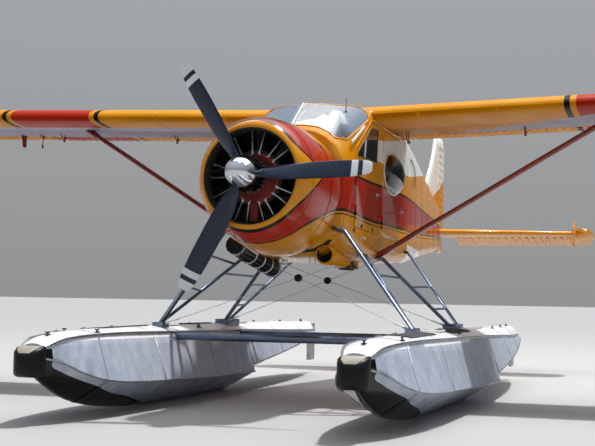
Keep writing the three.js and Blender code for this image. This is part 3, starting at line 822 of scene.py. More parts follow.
# ignition ring, and leads to the front plugs: out, aside, back
harness = {"radius": 0.262, "lead": [(0.262, 0.03, 0.298), (0.30, 0.032, 0.286), (0.38, 0.014, 0.288), (0.44, 0, 0.302),
                                     (0.456, 0, 0.318)]}
parts = [pipe(ringPoints(0, 0.300, 0, harness["radius"], 36), 0.011, cyclic=True)]
for number in range(cylinder["count"]):
    angle = math.tau * number / cylinder["count"]
    aside, out = Vector((math.cos(angle), 0, -math.sin(angle))), Vector((math.sin(angle), 0, math.cos(angle)))
    parts.append(pipe([out * far + aside * off + Vector((0, back, 0)) for far, off, back in harness["lead"]], 0.0055))
settle(atHub(parts), "ignitionHarness", "seal")
print("engine made")

spinner = {"sides": 96, "rows": [
    (0.108, 0.1795), (0.10, 0.18), (0.04, 0.178), (-0.01, 0.1737), (-0.06, 0.1665), (-0.105, 0.157), (-0.15, 0.1447),
    (-0.19, 0.130), (-0.23, 0.1113), (-0.26, 0.0927), (-0.285, 0.072), (-0.303, 0.051), (-0.314, 0.030), (-0.319, 0.006)]}
dome = closeEnds(atHub(turned(spinner["rows"], spinner["sides"])))
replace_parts(settle(dome, "spinnerDome", "chrome", "propeller"), "spinner")

# out, chord, thickness and twist
blade = {"count": 3, "sides": 32, "turn": 2, "rows": [
    (0.06, 0.110, 0.090, 50), (0.12, 0.104, 0.086, 49), (0.19, 0.120, 0.066, 46), (0.26, 0.148, 0.052, 42),
    (0.34, 0.178, 0.040, 38), (0.47, 0.192, 0.032, 34), (0.60, 0.196, 0.026, 30), (0.75, 0.193, 0.022, 27),
    (0.90, 0.188, 0.018, 24), (1.02, 0.176, 0.015, 22), (1.12, 0.160, 0.013, 20), (1.17, 0.144, 0.012, 19.5),
    (1.20, 0.128, 0.011, 19), (1.222, 0.098, 0.010, 18.5), (1.23, 0.074, 0.009, 18)]}


def bladeMesh():
    # one blade along x: a ring extruded row by row, then each ring given its own oval and twist
    outs = [row[0] for row in blade["rows"]]
    piece = ringAt((outs[0], 0, 0), (0, quarterTurn, 0), blade["sides"])
    for out, nextOut in zip(outs, outs[1:]):
        bpy.ops.mesh.extrude_edges_move(TRANSFORM_OT_translate={"value": (nextOut - out, 0, 0)})
    done(piece)
    for point in piece.data.vertices:
        out, chord, thick, twist = min(blade["rows"], key=lambda row: abs(row[0] - point.co.x))
        oval = Vector((point.co.y * chord / 2, point.co.z * thick / 2))
        point.co = (out, *(Matrix.Rotation(math.radians(90 - twist), 2) @ oval))
    return closeEnds(piece)


turns = [-math.radians(blade["turn"] + 360 / blade["count"] * number) for number in range(blade["count"])]
rotor = rowOf(bladeMesh(), [onHub @ Matrix.Rotation(turn, 4, "Y") for turn in turns])
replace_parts(settle(rotor, "propellerBlades", "bladePaint", "propeller"), "propeller_blades")
print("propeller made")


# Glass edges, frames and posts
def edging(node, name, radius, material, body="airframe", sharp=55):
    # a rubber or metal strip along every sharp edge of a pane
    edit(nodeCopy(node, name))
    pickSharp(sharp)
    select("INVERT")
    bpy.ops.mesh.delete(type="EDGE")
    select("SELECT")
    bpy.ops.mesh.delete(type="ONLY_FACE")
    mode("OBJECT")
    bpy.ops.object.convert(target="CURVE")
    line = bpy.context.object.data
    line.bevel_depth, line.bevel_resolution, line.use_fill_caps = radius, 2, True
    bpy.ops.object.convert(target="MESH")
    settle(bpy.context.object, name, material, body, smooth=50)


edging("windshield", "windshieldFrame", 0.011, "goldPaint")
for side in hands:
    edging(f"crew_window_{side}", f"crewWindowSeal_{side}", 0.007, "seal", f"crew_door_{side}")
    edging(f"bubble_window_{side}", f"bubbleRing_{side}", 0.008, "whitePaint", f"cabin_door_{side}", sharp=70)

settle(airTube((0, 1.345, 0.700), (0, 1.700, 0.988), 0.010, wide=0.021, sides=20), "windshieldPost", "whitePaint")
# foot, top, thickness, width, sides, body
pillars = {"windshieldPillar": ((0.603, 1.50, 0.528), (0.612, 1.93, 0.768), 0.010, 0.020, 20),
           "windowSash": ((0.618, 1.945, 0.436), (0.622, 1.975, 0.640), 0.008, 0.012, 16, "crew_door")}
for side, hand in hands.items():
    for name, (foot, top, thick, wide, sides, *body) in pillars.items():
        low, high = [onAirframe(hand * x, y, z) for x, y, z in (foot, top)]
        settle(tube(low, high, thick, wide=wide, sides=sides), f"{name}_{side}", "whitePaint",
               *[f"{part}_{side}" for part in body])

# Aerial on the roof ahead of the wing: low, high, radius, sides of its rod, foot and collar
aerial = {"foot": (0.44, 1.807, 0.905),
          "parts": [(0, 0.155, 0.0035, 12), (-0.004, 0.022, 0.010, 16), (0.05, 0.062, 0.006, 12)]}
base = onAirframe(*aerial["foot"])
settle([tubeAt(base, (0, 0, low), (0, 0, high), radius, sides=sides)
        for low, high, radius, sides in aerial["parts"]], "roofAerial", "seal")
print("frames and posts made")

# Wing details
wing = {"root": Vector((0.62, 0, 0.965)), "rise": -math.radians(1.7), "laps": (1.10, 1.95, 4.0, 5.45, 6.35)}
onPort = onHub @ about(wing["root"], wing["rise"], "Y")


def ribStrip(length, width, proud):
    # one pressed bead of a corrugated skin, tapered out at both ends
    deselect()
    bpy.ops.mesh.primitive_cylinder_add(vertices=12, radius=0.5, depth=1, rotation=(quarterTurn, 0, 0))
    piece = frozen(bpy.context.object)
    pick(piece, lambda v: abs(v.co.y) > 0.4)
    bpy.ops.mesh.bevel(offset=0.12, segments=3, affect="EDGES")
    done(piece).scale = (width, length, proud * 2)
    return frozen(piece)


# each face's front and rear edge: back, high, back, high
beads = {"pitch": 0.095, "bead": (0.050, 0.0085),
         "faces": ((3.495, 0.9250, 3.765, 0.9340), (3.500, 1.0095, 3.790, 0.9575)),
         "flap": (0.755, 3.99), "aileron": (4.002, 7.14)}
for name in ("flap", "aileron"):
    inner, outer = beads[name]
    count = int((outer - inner - 0.06) / beads["pitch"])
    strips = []
    spots = [inner + 0.05 + number * (outer - inner - 0.10) / count for number in range(count + 1)]
    for yA, zA, yB, zB in beads["faces"]:
        lean = Matrix.Rotation(math.atan2(zB - zA, yB - yA), 4, "X")
        strips += rowOf(ribStrip(math.hypot(yB - yA, zB - zA), *beads["bead"]),
                        [onPort @ Matrix.Translation((x, (yA + yB) / 2, (zA + zB) / 2)) @ lean for x in spots])
    paired(strips, f"{name}Beads", "wingPaint", name, smooth=40)


def straps(node, places, normal, width, proud=0.0015):
    # straps over the skin joints: thin slices of the CAD skin, lifted a little
    bands = [slicedSkin(node, "strap", place, normal, width) for place in places]
    return [shaped(band, "SOLIDIFY", thickness=proud + 0.001, offset=proud / (proud + 0.001)) for band in bands]


paired(straps("wing_left", [onPort @ Vector((x, 0, 0)) for x in wing["laps"]],
              onPort.to_3x3() @ Vector((1, 0, 0)), 0.028), "wingStraps", "wingPaint", smooth=35)

# hinge brackets that hang under the trailing edge: span, back, drop, reach, long rod
brackets = {"skin": 0.928, "arm": 0.0065, "post": 0.006, "eye": 0.013, "rod": 0.0055,
            "rows": [(0.78, 3.24, 0.13, 0.13, 0), (2.12, 3.26, 0.07, 0.12, 0.02), (3.66, 3.24, 0.06, 0.14, 0.025),
                     (3.975, 3.26, 0.05, 0.13, 0.11)]}
parts = []
for x, back, drop, reach, rod in brackets["rows"]:
    skin = brackets["skin"]
    eye = skin - drop * 0.92
    parts += [pipe([(x, back - reach, skin + 0.006), (x, back - reach * 0.75, skin - drop * 0.55),
                    (x, back - reach * 0.2, skin - drop), (x, back + 0.01, eye)], brackets["arm"]),
              pipe([(x, back, skin + 0.006), (x, back + 0.005, eye)], brackets["post"], smooth=False),
              tube((x - 0.016, back + 0.004, eye), (x + 0.016, back + 0.004, eye), brackets["eye"], sides=14)]
    if rod:
        foot = skin - drop - rod
        parts += [tube((x, back - 0.01, skin - drop * 0.9), (x, back - 0.01, foot), brackets["rod"], sides=10),
                  tubeAt(Vector((x, back - 0.01, foot)), (0, 0, 0.012), (0, 0, -0.024), brackets["eye"], sides=14,
                         bevel=0.006)]
gusset = block((4.27, 3.22, 0.76), (4.276, 3.36, 0.935), bevel=0.002)
pick(gusset, lambda v: v.co.z < 0.8)
bpy.ops.transform.resize(value=(1, 0.55, 1), center_override=(4.27, 3.34, 0.76))
parts += [done(gusset), tube((4.255, 3.32, 0.785), (4.291, 3.32, 0.785), 0.016, sides=16)]
paired(moved(parts, onPort), "hingeBrackets", "strutPaint")

# the strut's foot and top, and the plate over its top
cuff = {"ends": ((0.600, 2.640, -0.553), (3.155, 2.840, 1.000), (3.13, 2.838, 0.998)), "thick": 0.034, "wide": 0.069}
for side, hand in hands.items():
    low, high, pad = [(hand * x, y, z) for x, y, z in cuff["ends"]]
    low, high = onAirframe(*low), onAirframe(*high)
    along = (high - low).normalized()
    settle([tube(start, end, cuff["thick"], wide=cuff["wide"], sides=24, bevel=0.006)
            for start, end in ((low + along * 0.02, low + along * 0.17), (high - along * 0.20, high - along * 0.055))],
           f"strutCuffs_{side}", "strutPaint")
    plate = block((-0.055, -0.11, -0.006), (0.055, 0.11, 0.012), bevel=0.005)
    settle(moved(plate, onPlane(pad)), f"strutPad_{side}", "strutPaint")
print("wing details made")

# Floats, in level measures from the hub: back, deck and chine half widths, then edge, crown, chine and keel heights
hullRows = [(-1.270, 0.115, 0.122, -1.600, -1.565, -1.700, -1.840), (-1.100, 0.155, 0.200, -1.548, -1.512, -1.745, -1.930),
            (-0.850, 0.192, 0.285, -1.522, -1.483, -1.845, -2.045), (-0.500, 0.225, 0.355, -1.510, -1.470, -1.925, -2.140),
            (0, 0.255, 0.410, -1.507, -1.463, -1.965, -2.215), (0.900, 0.280, 0.432, -1.520, -1.460, -1.995, -2.27),
            (2.000, 0.285, 0.432, -1.538, -1.462, -2.025, -2.27), (3.200, 0.280, 0.424, -1.558, -1.470, -2.040, -2.27)]
afterRows = [(3.200, 0.280, 0.414, -1.558, -1.470, -1.950, -2.175), (4.400, 0.250, 0.368, -1.590, -1.488, -1.860, -2.035),
             (5.600, 0.190, 0.262, -1.622, -1.507, -1.765, -1.865), (6.480, 0.120, 0.150, -1.642, -1.522, -1.690, -1.740)]
deckRows = hullRows + afterRows[1:]
fittings = {
    "apart": 1.45, "rail": 0.011, "spray": 0.009, "keel": 0.012, "lift": 0.0002,
    "seams": [-0.50, 0.62, 2.02, 3.17, 4.42, 5.62],
    "cleats": [(0, -1.02), (0.17, -0.40), (-0.17, -0.40), (0.19, 2.0), (-0.19, 2.0), (0.10, 4.55), (0.05, 5.45),
               (0, 6.20)],
    "horn": [(-0.042, 0.025), (-0.024, 0.023), (0, 0.022), (0.024, 0.023), (0.042, 0.025)],
    "plugs": [-0.68, -0.15, 0.45, 1.75, 2.42, 3.75, 4.80, 5.80], "plugLine": -0.10, "hatches": (1.45, 3.55),
    "grips": ((-0.05, 1.0), (1.72, 2.75)), "gripWide": 0.22, "gripOff": 0.06}


def level(x, back, high):
    return Vector((x, back + hub.y, high + hub.z))


def onFloat(side, x, back, high):
    return level(hands[side] * fittings["apart"] + x, back, high)


def onDeck(side, x, back, lift=0.0):
    # a place on the crowned deck
    for low, high in zip(deckRows, deckRows[1:]):
        if low[0] <= back <= high[0]:
            t = (back - low[0]) / (high[0] - low[0])
            deck, edge, crown = [low[i] + (high[i] - low[i]) * t for i in (1, 3, 4)]
            share = abs(x) / deck
            if share < 0.5:
                return onFloat(side, x, back, crown - (crown - edge) * 0.2 * share / 0.5 + lift)
            return onFloat(side, x, back, edge + (crown - edge) * 0.8 * (1 - share) / 0.5 + lift)


def cleat(place):
    # a horn cleat: two feet, a waist and tapered horns
    parts = [pipe([place + Vector((0, y, z)) for y, z in fittings["horn"]], 0.0055)]
    parts += [tubeAt(place, (0, y, -0.004), (0, y, 0.022), 0.0055, sides=14) for y in (-0.013, 0.013)]
    return parts + [blockAt(place, (-0.018, -0.038, -0.004), (0.018, 0.038, 0.004), 0.003)]


def hatch(place):
    # a lid with two hinge rolls and a catch
    parts = [blockAt(place, (-0.13, -0.17, -0.012), (0.13, 0.17, 0.006), 0.004)]
    parts += [tubeAt(place, (0.12, y - 0.03, 0.008), (0.12, y + 0.03, 0.008), 0.007, sides=12) for y in (-0.10, 0.10)]
    return parts + [blockAt(place, (-0.125, -0.03, 0.003), (-0.09, 0.03, 0.014), 0.004)]


for side in hands:
    # smooth lengthwise curves between hard chines
    hull = dressed[f"floatSkin_{side}"]
    edit(hull)
    bpy.ops.mesh.tris_convert_to_quads(face_threshold=math.radians(25), shape_threshold=math.radians(60))
    pickSharp(20)
    bpy.ops.transform.edge_crease(value=1)
    shaped(done(hull), "SUBSURF", levels=2, render_levels=2)
    bpy.ops.object.shade_smooth_by_angle(angle=math.radians(32))

# rows, columns of their width and height, how far out, radius
railing = ((deckRows, 1, 3, 0, fittings["rail"]), (hullRows, 2, 5, 0.002, fittings["spray"]),
           (afterRows, 2, 5, 0.002, fittings["spray"]))
for side in hands:
    strips = []
    for edge in (-1, 1):
        for rows, wide, high, out, radius in railing:
            strips.append(pipe([onFloat(side, edge * (row[wide] + out), row[0], row[high]) for row in rows], radius))
    strips.append(pipe([onFloat(side, 0, row[0], row[6] + 0.014) for row in hullRows], fittings["keel"]))
    rails = settle(strips, f"floatRails_{side}", "bareMetal")
    bands = straps(f"float_{side}", [level(0, back, 0) for back in fittings["seams"]], Vector((0, 1, 0)), 0.022, 0.0012)
    bands = settle(bands, f"floatSeams_{side}", "floatSkin", smooth=35)
    for point in [*rails.data.vertices, *bands.data.vertices]:
        # worn flat where the keel stands on the floor
        point.co.z = max(point.co.z, fittings["lift"])

for side, hand in hands.items():
    cleats = [joined(cleat(onDeck(side, x, back, 0.002) + Vector((hand * x - x, 0, 0))))
              for x, back in fittings["cleats"]]
    settle(cleats, f"floatCleats_{side}", "rubber")
    caps = []
    for back in fittings["plugs"]:
        centre = onDeck(side, fittings["plugLine"], back)
        caps += [tubeAt(centre, (0, 0, -0.004), (0, 0, 0.007), 0.038, sides=28, bevel=0.003),
                 tubeAt(centre, (0, 0, 0), (0, 0, 0.016), 0.013, sides=16, bevel=0.003)]
    settle(caps, f"pumpPlugs_{side}", "bareMetal")
    lids = [part for back in fittings["hatches"] for part in hatch(onDeck(side, 0, back))]
    settle(lids, f"floatHatches_{side}", "whitePaint")
    mats = []
    for low, high in fittings["grips"]:
        deselect()
        bpy.ops.mesh.primitive_grid_add(x_subdivisions=6, y_subdivisions=8, size=1)
        mats.append(bpy.context.object)
        for corner in mats[-1].data.vertices:
            corner.co = onDeck(side, corner.co.x * fittings["gripWide"] + fittings["gripOff"] * hand,
                               low + (corner.co.y + 0.5) * (high - low), 0.001)
        shaped(mats[-1], "SOLIDIFY", thickness=0.004, offset=1)
    settle(outward(joined(mats)), f"deckGrip_{side}", "deckGrip")
    # the bumpers' upward faces painted pale: painted light on their tops
    coat(dressed[f"bumperSkin_{side}"], "rubberTopPaintedLight",
         lambda f: f.normal.z > 0.72 and abs(f.center.x - hand * fittings["apart"]) < 0.075)
print("floats made")

# Brace wires and the knobs where they cross: top on the body, foot on the float
wires = [((0.655, 1.935, -0.600), (-1.30, 1.165, -1.445)), ((0.655, 2.625, -0.585), (-1.30, 2.960, -1.450))]
for number, (top, foot) in enumerate(wires):
    parts = []
    for hand in (-1, 1):
        high, low = onAirframe(hand * top[0], *top[1:]), level(hand * foot[0], *foot[1:])
        parts.append(tube(high, low, 0.0034, sides=10))
        for end, other in ((high, low), (low, high)):
            along = (other - end).normalized()
            parts += [tube(end + along * 0.03, end + along * 0.17, 0.0075, sides=12),
                      tube(end - along * 0.01, end + along * 0.05, 0.012, sides=12)]
        middle = high.lerp(low, top[0] / (top[0] + abs(foot[0])))
    knob = softened(tubeAt(middle, (0, -0.034, 0), (0, 0.034, 0), 0.040, sides=28), 0.016, segments=3)
    settle(parts, f"braceWires{number}", "steel")
    settle(knob, f"braceKnob{number}", "rubber")
print("brace wires made")

# Exhaust, oil-cooler duct and belly details
duct = {"centre": (0.42, -0.65), "bore": 0.0865, "lip": 0.0875, "mouth": 1.243, "outlet": (0.42, 2.05, -0.736)}


# the duct's bore, its forward faces and the outlet below are painted near black: painted shade in the openings
def ductFacesInPaintedShade(face):
    place, facing = fromModel @ face.center, noseUp.to_3x3().inverted() @ face.normal
    across = Vector((place.x - duct["centre"][0], 0, place.z - duct["centre"][1]))
    bore = across.length < duct["bore"] and place.y < 1.44 and (across.dot(facing) < 0 or facing.y < -0.5)
    return bore or facing.y < -0.9 and 1.30 < place.y < 1.5 or 1.9 < place.y < 2.2 and place.z < -0.70 and facing.z > -0.9


coat(dressed["ductSkin"], "sootAndPaintedShade", ductFacesInPaintedShade)
lip = ringPoints(duct["centre"][0], duct["mouth"], duct["centre"][1], duct["lip"], 24)
settle(airPipe(lip, 0.0065, cyclic=True), "ductLip", "goldPaint")
x, y, z = duct["outlet"]
oval = [(x + 0.072 * math.cos(math.tau * i / 24), y + 0.122 * math.sin(math.tau * i / 24), z) for i in range(24)]
settle(airPipe(oval, 0.009, cyclic=True), "ductOutletRim", "seal")

# clamps sit at shares of the way down the muff's two legs
muff = {"radius": 0.101, "start": (-0.420, 0.900, -0.582), "bend": (-0.410, 1.240, -0.640),
        "end": (-0.386, 2.000, -0.748),
        "clamps": [("start", "bend", 0.12), *[("bend", "end", share) for share in (0.06, 0.36, 0.66, 0.95)]]}
bands = []
for low, high, share in muff["clamps"]:
    low, high = onAirframe(*muff[low]), onAirframe(*muff[high])
    place, half = low.lerp(high, share), (high - low).normalized() * 0.011
    bands += [tube(place - half, place + half, muff["radius"], sides=40, bevel=0.002),
              tubeAt(place, (0.03, 0, -0.093), (-0.03, 0, -0.093), 0.011, sides=12)]
settle(bands, "muffClamps", "steel")

shield = {"path": [(-0.150, 0.235, -0.545), (-0.140, 0.300, -0.577), (-0.138, 0.383, -0.598), (-0.140, 0.475, -0.621),
                   (-0.160, 0.616, -0.640), (-0.172, 0.794, -0.664), (-0.20, 0.98, -0.672)],
          "lugs": [(-0.34, 2.03, -0.66), (-0.30, 2.10, -0.69), (-0.26, 2.04, -0.655)],
          "stays": [((-0.34, 2.02, -0.75), (-0.27, 2.04, -0.63)), ((-0.27, 2.13, -0.72), (-0.27, 2.08, -0.62))]}
parts = [airPipe(shield["path"], 0.011, sides=2)]
parts += [moved(block((-0.012, -0.045, -0.006), (0.012, 0.045, 0.006), bevel=0.003),
                Matrix.Translation(onAirframe(*place)) @ Matrix.Rotation(0.5, 4, "Y")) for place in shield["lugs"]]
settle(parts + [airTube(*stay, 0.009, sides=12) for stay in shield["stays"]], "exhaustShield", "steel")

drains = [airTube((x, y, -0.60), (x, y + 0.02, -0.73), 0.007, sides=12)
          for x, y in ((0.14, 1.62), (0.19, 1.66), (0.10, 2.35))]
settle(drains + [airTube((0.60, 1.95, -0.40), (0.645, 1.96, -0.43), 0.012, sides=14)], "bellyDrains", "steel")
ports = ((0.6175, 1.62, -0.36), (0.619, 1.90, -0.30), (0.6195, 2.33, -0.29))
paired([moved(tube((0, 0, 0), (0.006, 0, 0), 0.024, sides=24, bevel=0.002), onPlane(place)) for place in ports],
       "sidePorts", "seal")

# Door handles, drip rails and stays: name, back, height, body
handles = {"out": 0.62, "rows": (("crewHandle", 2.47, 0.10, "crew_door"), ("cabinHandle", 3.60, 0.04, "cabin_door"))}
for name, back, high, body in handles["rows"]:
    x = handles["out"]
    lever = [(x + 0.026, back + 0.008, high), (x + 0.028, back - 0.04, high), (x + 0.026, back - 0.085, high + 0.004),
             (x + 0.020, back - 0.105, high + 0.004)]
    parts = [tube((x - 0.004, back, high), (x + 0.006, back, high), 0.022, sides=24, bevel=0.002),
             tube((x, back, high), (x + 0.026, back, high), 0.009, sides=14), pipe(lever, 0.0065)]
    paired(atHub(parts), name, "bareMetal", body)
drip = [(0.606, 1.66, 0.505), (0.620, 1.95, 0.718), (0.628, 2.205, 0.886),
        *[(0.628, back, 0.888) for back in (2.60, 3.20, 3.74)]]
stay = [(0.6055, 4.10, 0.750), (0.597, 4.30, 0.715), (0.590, 4.42, 0.640), (0.588, 4.44, 0.55), (0.5895, 4.42, 0.45)]
paired(airPipe(drip, 0.006), "dripRail", "goldPaint")
paired(airPipe(stay, 0.005), "cabinStay", "seal")
print("doors and belly made")

# Tail beads, straps and lamps
tail = {"hinge": Vector((0, 8.42, 0.24)), "droop": -math.radians(13), "bead": (0.040, 0.005)}
onElevator = onHub @ about(tail["hinge"], tail["droop"], "X")
elevatorBeads, rudderBeads = [], []
for turn in (1, -1):
    slope = Matrix.Rotation(-math.atan2(0.030 * turn, 0.44), 4, "X")
    rows = [Matrix.Translation((0.34 + number * 0.105, 8.665, 0.24 + turn * 0.0235)) for number in range(17)]
    elevatorBeads += rowOf(ribStrip(0.41, *tail["bead"]), [onElevator @ place @ slope for place in rows])
paired(elevatorBeads, "elevatorBeads", "goldPaint", "elevator", smooth=40)
for turn in (1, -1):
    slope = Matrix.Rotation(turn * 0.068, 4, "Z")
    rows = [Matrix.Translation((turn * 0.0225, 8.645, 0.20 + number * 0.110)) for number in range(14)]
    upright = moved(ribStrip(0.42, *tail["bead"]), Matrix.Rotation(quarterTurn * turn, 4, "Y"))
    rudderBeads += rowOf(upright, [onHub @ place @ slope for place in rows])
settle(rudderBeads, "rudderBeads", "finPaint", "rudder", smooth=40)
for name, node, width, backs in (("tailStraps", "tail_cone", 0.030, (4.66, 5.35, 6.10, 6.85, 7.60)),
                                 ("cabinStraps", "fuselage_shell", 0.026, (1.235, 3.92))):
    settle(straps(node, [onAirframe(0, back, 0) for back in backs], rearward, width), name, "bodyPaint", smooth=35)
lamp = {"place": (7.285, 2.62, 1.163), "size": (0.022, 0.055, 0.020), "left": "redLens", "right": "greenLens"}
for side, hand in hands.items():
    deselect()
    bpy.ops.mesh.primitive_uv_sphere_add(segments=20, ring_count=12, radius=1)
    lens = bpy.context.object
    lens.scale = lamp["size"]
    x, y, z = lamp["place"]
    settle(moved(frozen(lens), onPlane((hand * x, y, z))), f"tipLamp_{side}", lamp[side])
print("tail made")

# Cabin
seat = {"x": 0.28, "back": 1.96, "voxel": 0.008, "cap": 0.014, "edge": 0.026, "seamDeep": 0.007, "seamWide": 0.010}
bench = {"voxel": 0.011, "cap": 0.016, "edge": 0.028, "seamDeep": 0.008, "seamWide": 0.012,
         "seams": [-0.35, -0.175, 0, 0.175, 0.35]}
up, ahead = Vector((0, 0, 1)), Vector((0, -1, 0))
clothFrames = 20
stand = {"rail": 0.011, "leg": 0.012, "foot": -0.4185}


def pad(low, high, make, axis, seams, facing):
    # stuffed and sewn: the cover is blown up a little, as foam does it, then pressed in along its channels
    piece = softened(block(low, high), make["edge"], segments=3)
    shaped(piece, "REMESH", mode="VOXEL", voxel_size=make["voxel"])
    start = [v.co.copy() for v in piece.data.vertices]
    cloth = piece.modifiers.new("cover", "CLOTH")
    cloth.settings.use_pressure = True
    cloth.settings.uniform_pressure_force = 4
    cloth.settings.quality = 4
    cloth.settings.effector_weights.gravity = 0
    cloth.collision_settings.use_collision = False
    cloth.point_cache.frame_start, cloth.point_cache.frame_end = 1, clothFrames
    for number in range(1, clothFrames + 1):
        bpy.context.scene.frame_set(number)
    bpy.context.view_layer.update()
    ends = [v.co.copy() for v in piece.evaluated_get(bpy.context.evaluated_depsgraph_get()).data.vertices]
    piece.modifiers.remove(cloth)
    bpy.context.scene.frame_set(1)
    for point, first, last in zip(piece.data.vertices, start, ends):
        step = last - first
        point.co = first + step * min(1, make["cap"] / max(step.length, 1e-6))
    shaped(piece, "SMOOTH", factor=0.5, iterations=4)
    shaped(piece, "SUBSURF", levels=1, render_levels=1)
    normals = [v.normal.copy() for v in piece.data.vertices]
    for point, normal in zip(piece.data.vertices, normals):
        if normal.dot(facing) > 0.5:
            for place in seams:
                away = (point.co[axis] - place) / make["seamWide"]
                point.co -= normal * make["seamDeep"] * math.exp(-away * away)
    return piece


def railsAndLegs(rails, path, legs, top):
    # side rails that bend up behind the seat's back, each on its legs
    parts = []
    for x in rails:
        parts.append(pipe([(x, back, high) for back, high in path], stand["rail"]))
        parts += [tube((x, back, stand["foot"]), (x, back, top), stand["leg"], sides=14) for back in legs]
    return parts


x, y = seat["x"], seat["back"]
cushion = pad((x - 0.200, y + 0.015, -0.100), (x + 0.200, y + 0.375, -0.018), seat, 0, [x - 0.10, x, x + 0.10], up)
backPad = pad((x - 0.195, y + 0.385, 0.000), (x + 0.195, y + 0.455, 0.540), seat, 2, [0.12, 0.24, 0.36, 0.46], ahead)
rails = (x - 0.15, x + 0.15)
path = [(y + 0.03, -0.118), (y + 0.40, -0.118), (y + 0.445, -0.10), (y + 0.452, 0.0), (y + 0.458, 0.30)]
parts = railsAndLegs(rails, path, (y + 0.06, y + 0.34), -0.112)
parts += [block((rail - 0.016, y + 0.02, -0.4196), (rail + 0.016, y + 0.40, -0.405), bevel=0.003) for rail in rails]
parts += [tube((rails[0], y + bar, -0.118), (rails[1], y + bar, -0.118), 0.009, sides=12) for bar in (0.05, 0.20, 0.35)]
for piece, name in ((cushion, "seatCushion"), (backPad, "seatBack")):
    for made in paired(atHub(piece), name, "seatCover", smooth=60):
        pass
left, right = paired(atHub(parts), "seatFrame", "bareMetal", smooth=60)
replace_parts(left, "seat_left")
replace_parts(right, "seat_right")

benchCushion = pad((-0.525, 3.395, -0.100), (0.525, 3.735, -0.006), bench, 0, bench["seams"], up)
benchBack = pad((-0.525, 3.755, 0.010), (0.525, 3.835, 0.540), bench, 0, bench["seams"], ahead)
path = [(3.42, -0.120), (3.76, -0.120), (3.842, -0.09), (3.846, 0.02), (3.846, 0.40)]
parts = railsAndLegs((-0.46, -0.16, 0.16, 0.46), path, (3.45, 3.77), -0.114)
parts += [tube((-0.50, y, -0.120), (0.50, y, -0.120), 0.010, sides=12) for y in (3.45, 3.62, 3.77)]
benchFrame = settle(atHub(parts), "benchFrame", "bareMetal", smooth=60)
for piece, name in ((benchCushion, "benchCushion"), (benchBack, "benchBack")):
    settle(atHub(piece), name, "seatCover", smooth=60)
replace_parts(benchFrame, "bench_seat")
print("seats made")

# two sets of dials, across, high and radius, with a stack of radios between them
panel = {"middle": 0.27, "face": 1.499, "radios": (0.17, 0.245, 0.32),
         "dials": [*[(dx, high, 0.040) for high in (0.36, 0.25) for dx in (-0.12, 0, 0.12)],
                   (-0.06, 0.155, 0.028), (0.06, 0.155, 0.028)]}
rings, faces, needles = [], [], []
for hand in (-1, 1):
    for dx, high, radius in panel["dials"]:
        x = hand * panel["middle"] + dx
        rings.append(pipe(ringPoints(x, 1.503, high, radius, 20), 0.0045, cyclic=True))
        faces.append(tube((x, panel["face"], high), (x, 1.5025, high), radius, sides=28, bevel=0.001))
        lean = chance.uniform(0, math.tau)
        tip = (x + 0.75 * radius * math.cos(lean), 1.5035, high + 0.75 * radius * math.sin(lean))
        needles.append(tube((x, 1.5035, high), tip, 0.0018, sides=6))
for high in panel["radios"]:
    faces.append(block((-0.075, panel["face"], high), (0.075, 1.508, high + 0.062), bevel=0.003))
    rings += [tube((dx, 1.505, high + 0.03), (dx, 1.522, high + 0.03), 0.010, sides=18, bevel=0.002)
              for dx in (-0.055, 0.055)]
settle(atHub(rings), "dialRings", "bareMetal")
settle(atHub(faces), "dialFaces", "darkPlastic")
settle(atHub(needles), "dialNeedles", "whitePaint")

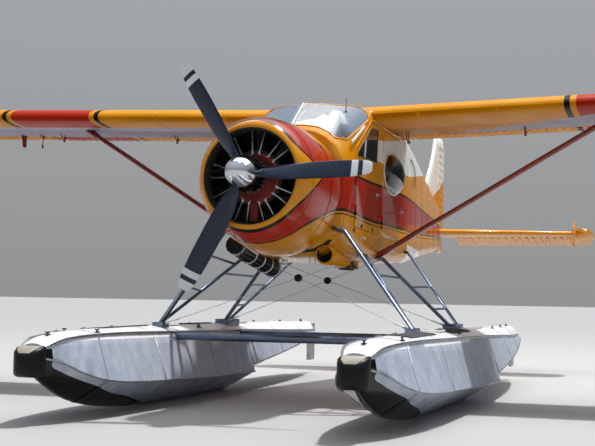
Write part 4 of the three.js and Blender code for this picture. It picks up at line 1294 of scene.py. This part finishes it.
levers, knobs = [], []
for x in (-0.05, 0, 0.05):
    levers.append(tube((x, 1.50, 0.44), (x, 1.565, 0.505), 0.005, sides=10))
    knobs.append(tube((x, 1.560, 0.500), (x, 1.580, 0.520), 0.014, sides=20, bevel=0.005))
levers.append(tube((0, 1.80, -0.4190), (0, 1.74, 0.06), 0.022, sides=20))
levers.append(pipe([(0, 1.742, 0.05), (0.10, 1.738, 0.075), (0.22, 1.735, 0.12), (0.28, 1.735, 0.17)], 0.015))
for x in (-0.38, -0.18, 0.18, 0.38):
    levers += [tube((x, 1.50, -0.4190), (x, 1.47, -0.26), 0.008, sides=10),
               block((x - 0.04, 1.455, -0.30), (x + 0.04, 1.470, -0.20), bevel=0.004)]
arc = [math.radians(-205 + 25 * i) for i in range(10)]
wheel = [pipe([(0.28 + 0.155 * math.cos(a), 1.752, 0.17 + 0.115 * math.sin(a)) for a in arc], 0.012),
         tube((0.15, 1.752, 0.13), (0.41, 1.752, 0.13), 0.010, sides=14),
         tube((0.28, 1.72, 0.16), (0.28, 1.765, 0.16), 0.032, sides=24, bevel=0.006)]
settle(atHub(levers), "controlColumn", "bareMetal")
settle(atHub(wheel + knobs), "controlWheel", "rubber")
settle(atHub(block((-0.585, 1.34, -0.4196), (0.585, 4.40, -0.4150), bevel=0.001)), "cabinMat", "deckGrip")
print("cabin made")

# Stage
bpy.context.scene.view_settings.view_transform = "Standard"
deselect()
bpy.ops.mesh.primitive_plane_add(size=160, location=(0, 20, -0.002))
floor = bpy.context.object
floor.name = "floor"
floor.data.materials.append(newMaterial("paleFloor"))
finish("#A5A4A2", Roughness=0.75)

light = {"sun": 3.9, "sunTurn": (-16, 10, 0), "sunSize": 2.5, "sky": 0.8, "flag": "#3A3A3A",
         "panel": 1300, "panelPlace": (1.4, 3.4, 13), "panelTurn": (29, 4, 0), "panelSize": (16, 10),
         "skyStops": ((0, "#6A6967"), (1, "#E6EEF8"), (0.24, "#A4A5A6"))}
bpy.ops.object.light_add(type="SUN", rotation=inRadians(light["sunTurn"]))
bpy.context.object.data.energy = light["sun"]
bpy.context.object.data.angle = math.radians(light["sunSize"])
bpy.ops.object.light_add(type="AREA", location=light["panelPlace"], rotation=inRadians(light["panelTurn"]))
area = bpy.context.object.data
area.shape, area.energy = "RECTANGLE", light["panel"]
area.size, area.size_y = light["panelSize"]
world = bpy.data.worlds.new("softSky")
bpy.context.scene.world = world
world.use_nodes = True
tree = world.node_tree
tree.nodes.clear()
across, back, high = add("SeparateXYZ", add("TexCoord", out="Generated")).node.outputs
sky = add("ValToRGB", add("MapRange", high, -0.3, 1.0))
stops = sky.node.color_ramp.elements
stops.new(0.24)
for stop, (where, code) in zip(stops, sorted(light["skyStops"])):
    stop.position, stop.color = where, linear(code)
# a dark flag off to the right keeps the sides' colour deep
flag = combined(times, add("MapRange", across, -0.06, 0.22), add("MapRange", back, 0.1, 0.6),
                add("MapRange", high, 0.5, 0.2))
add("OutputWorld", add("Background", layered(sky, (flag, light["flag"])), light["sky"]))
print("stage set")

deselect()
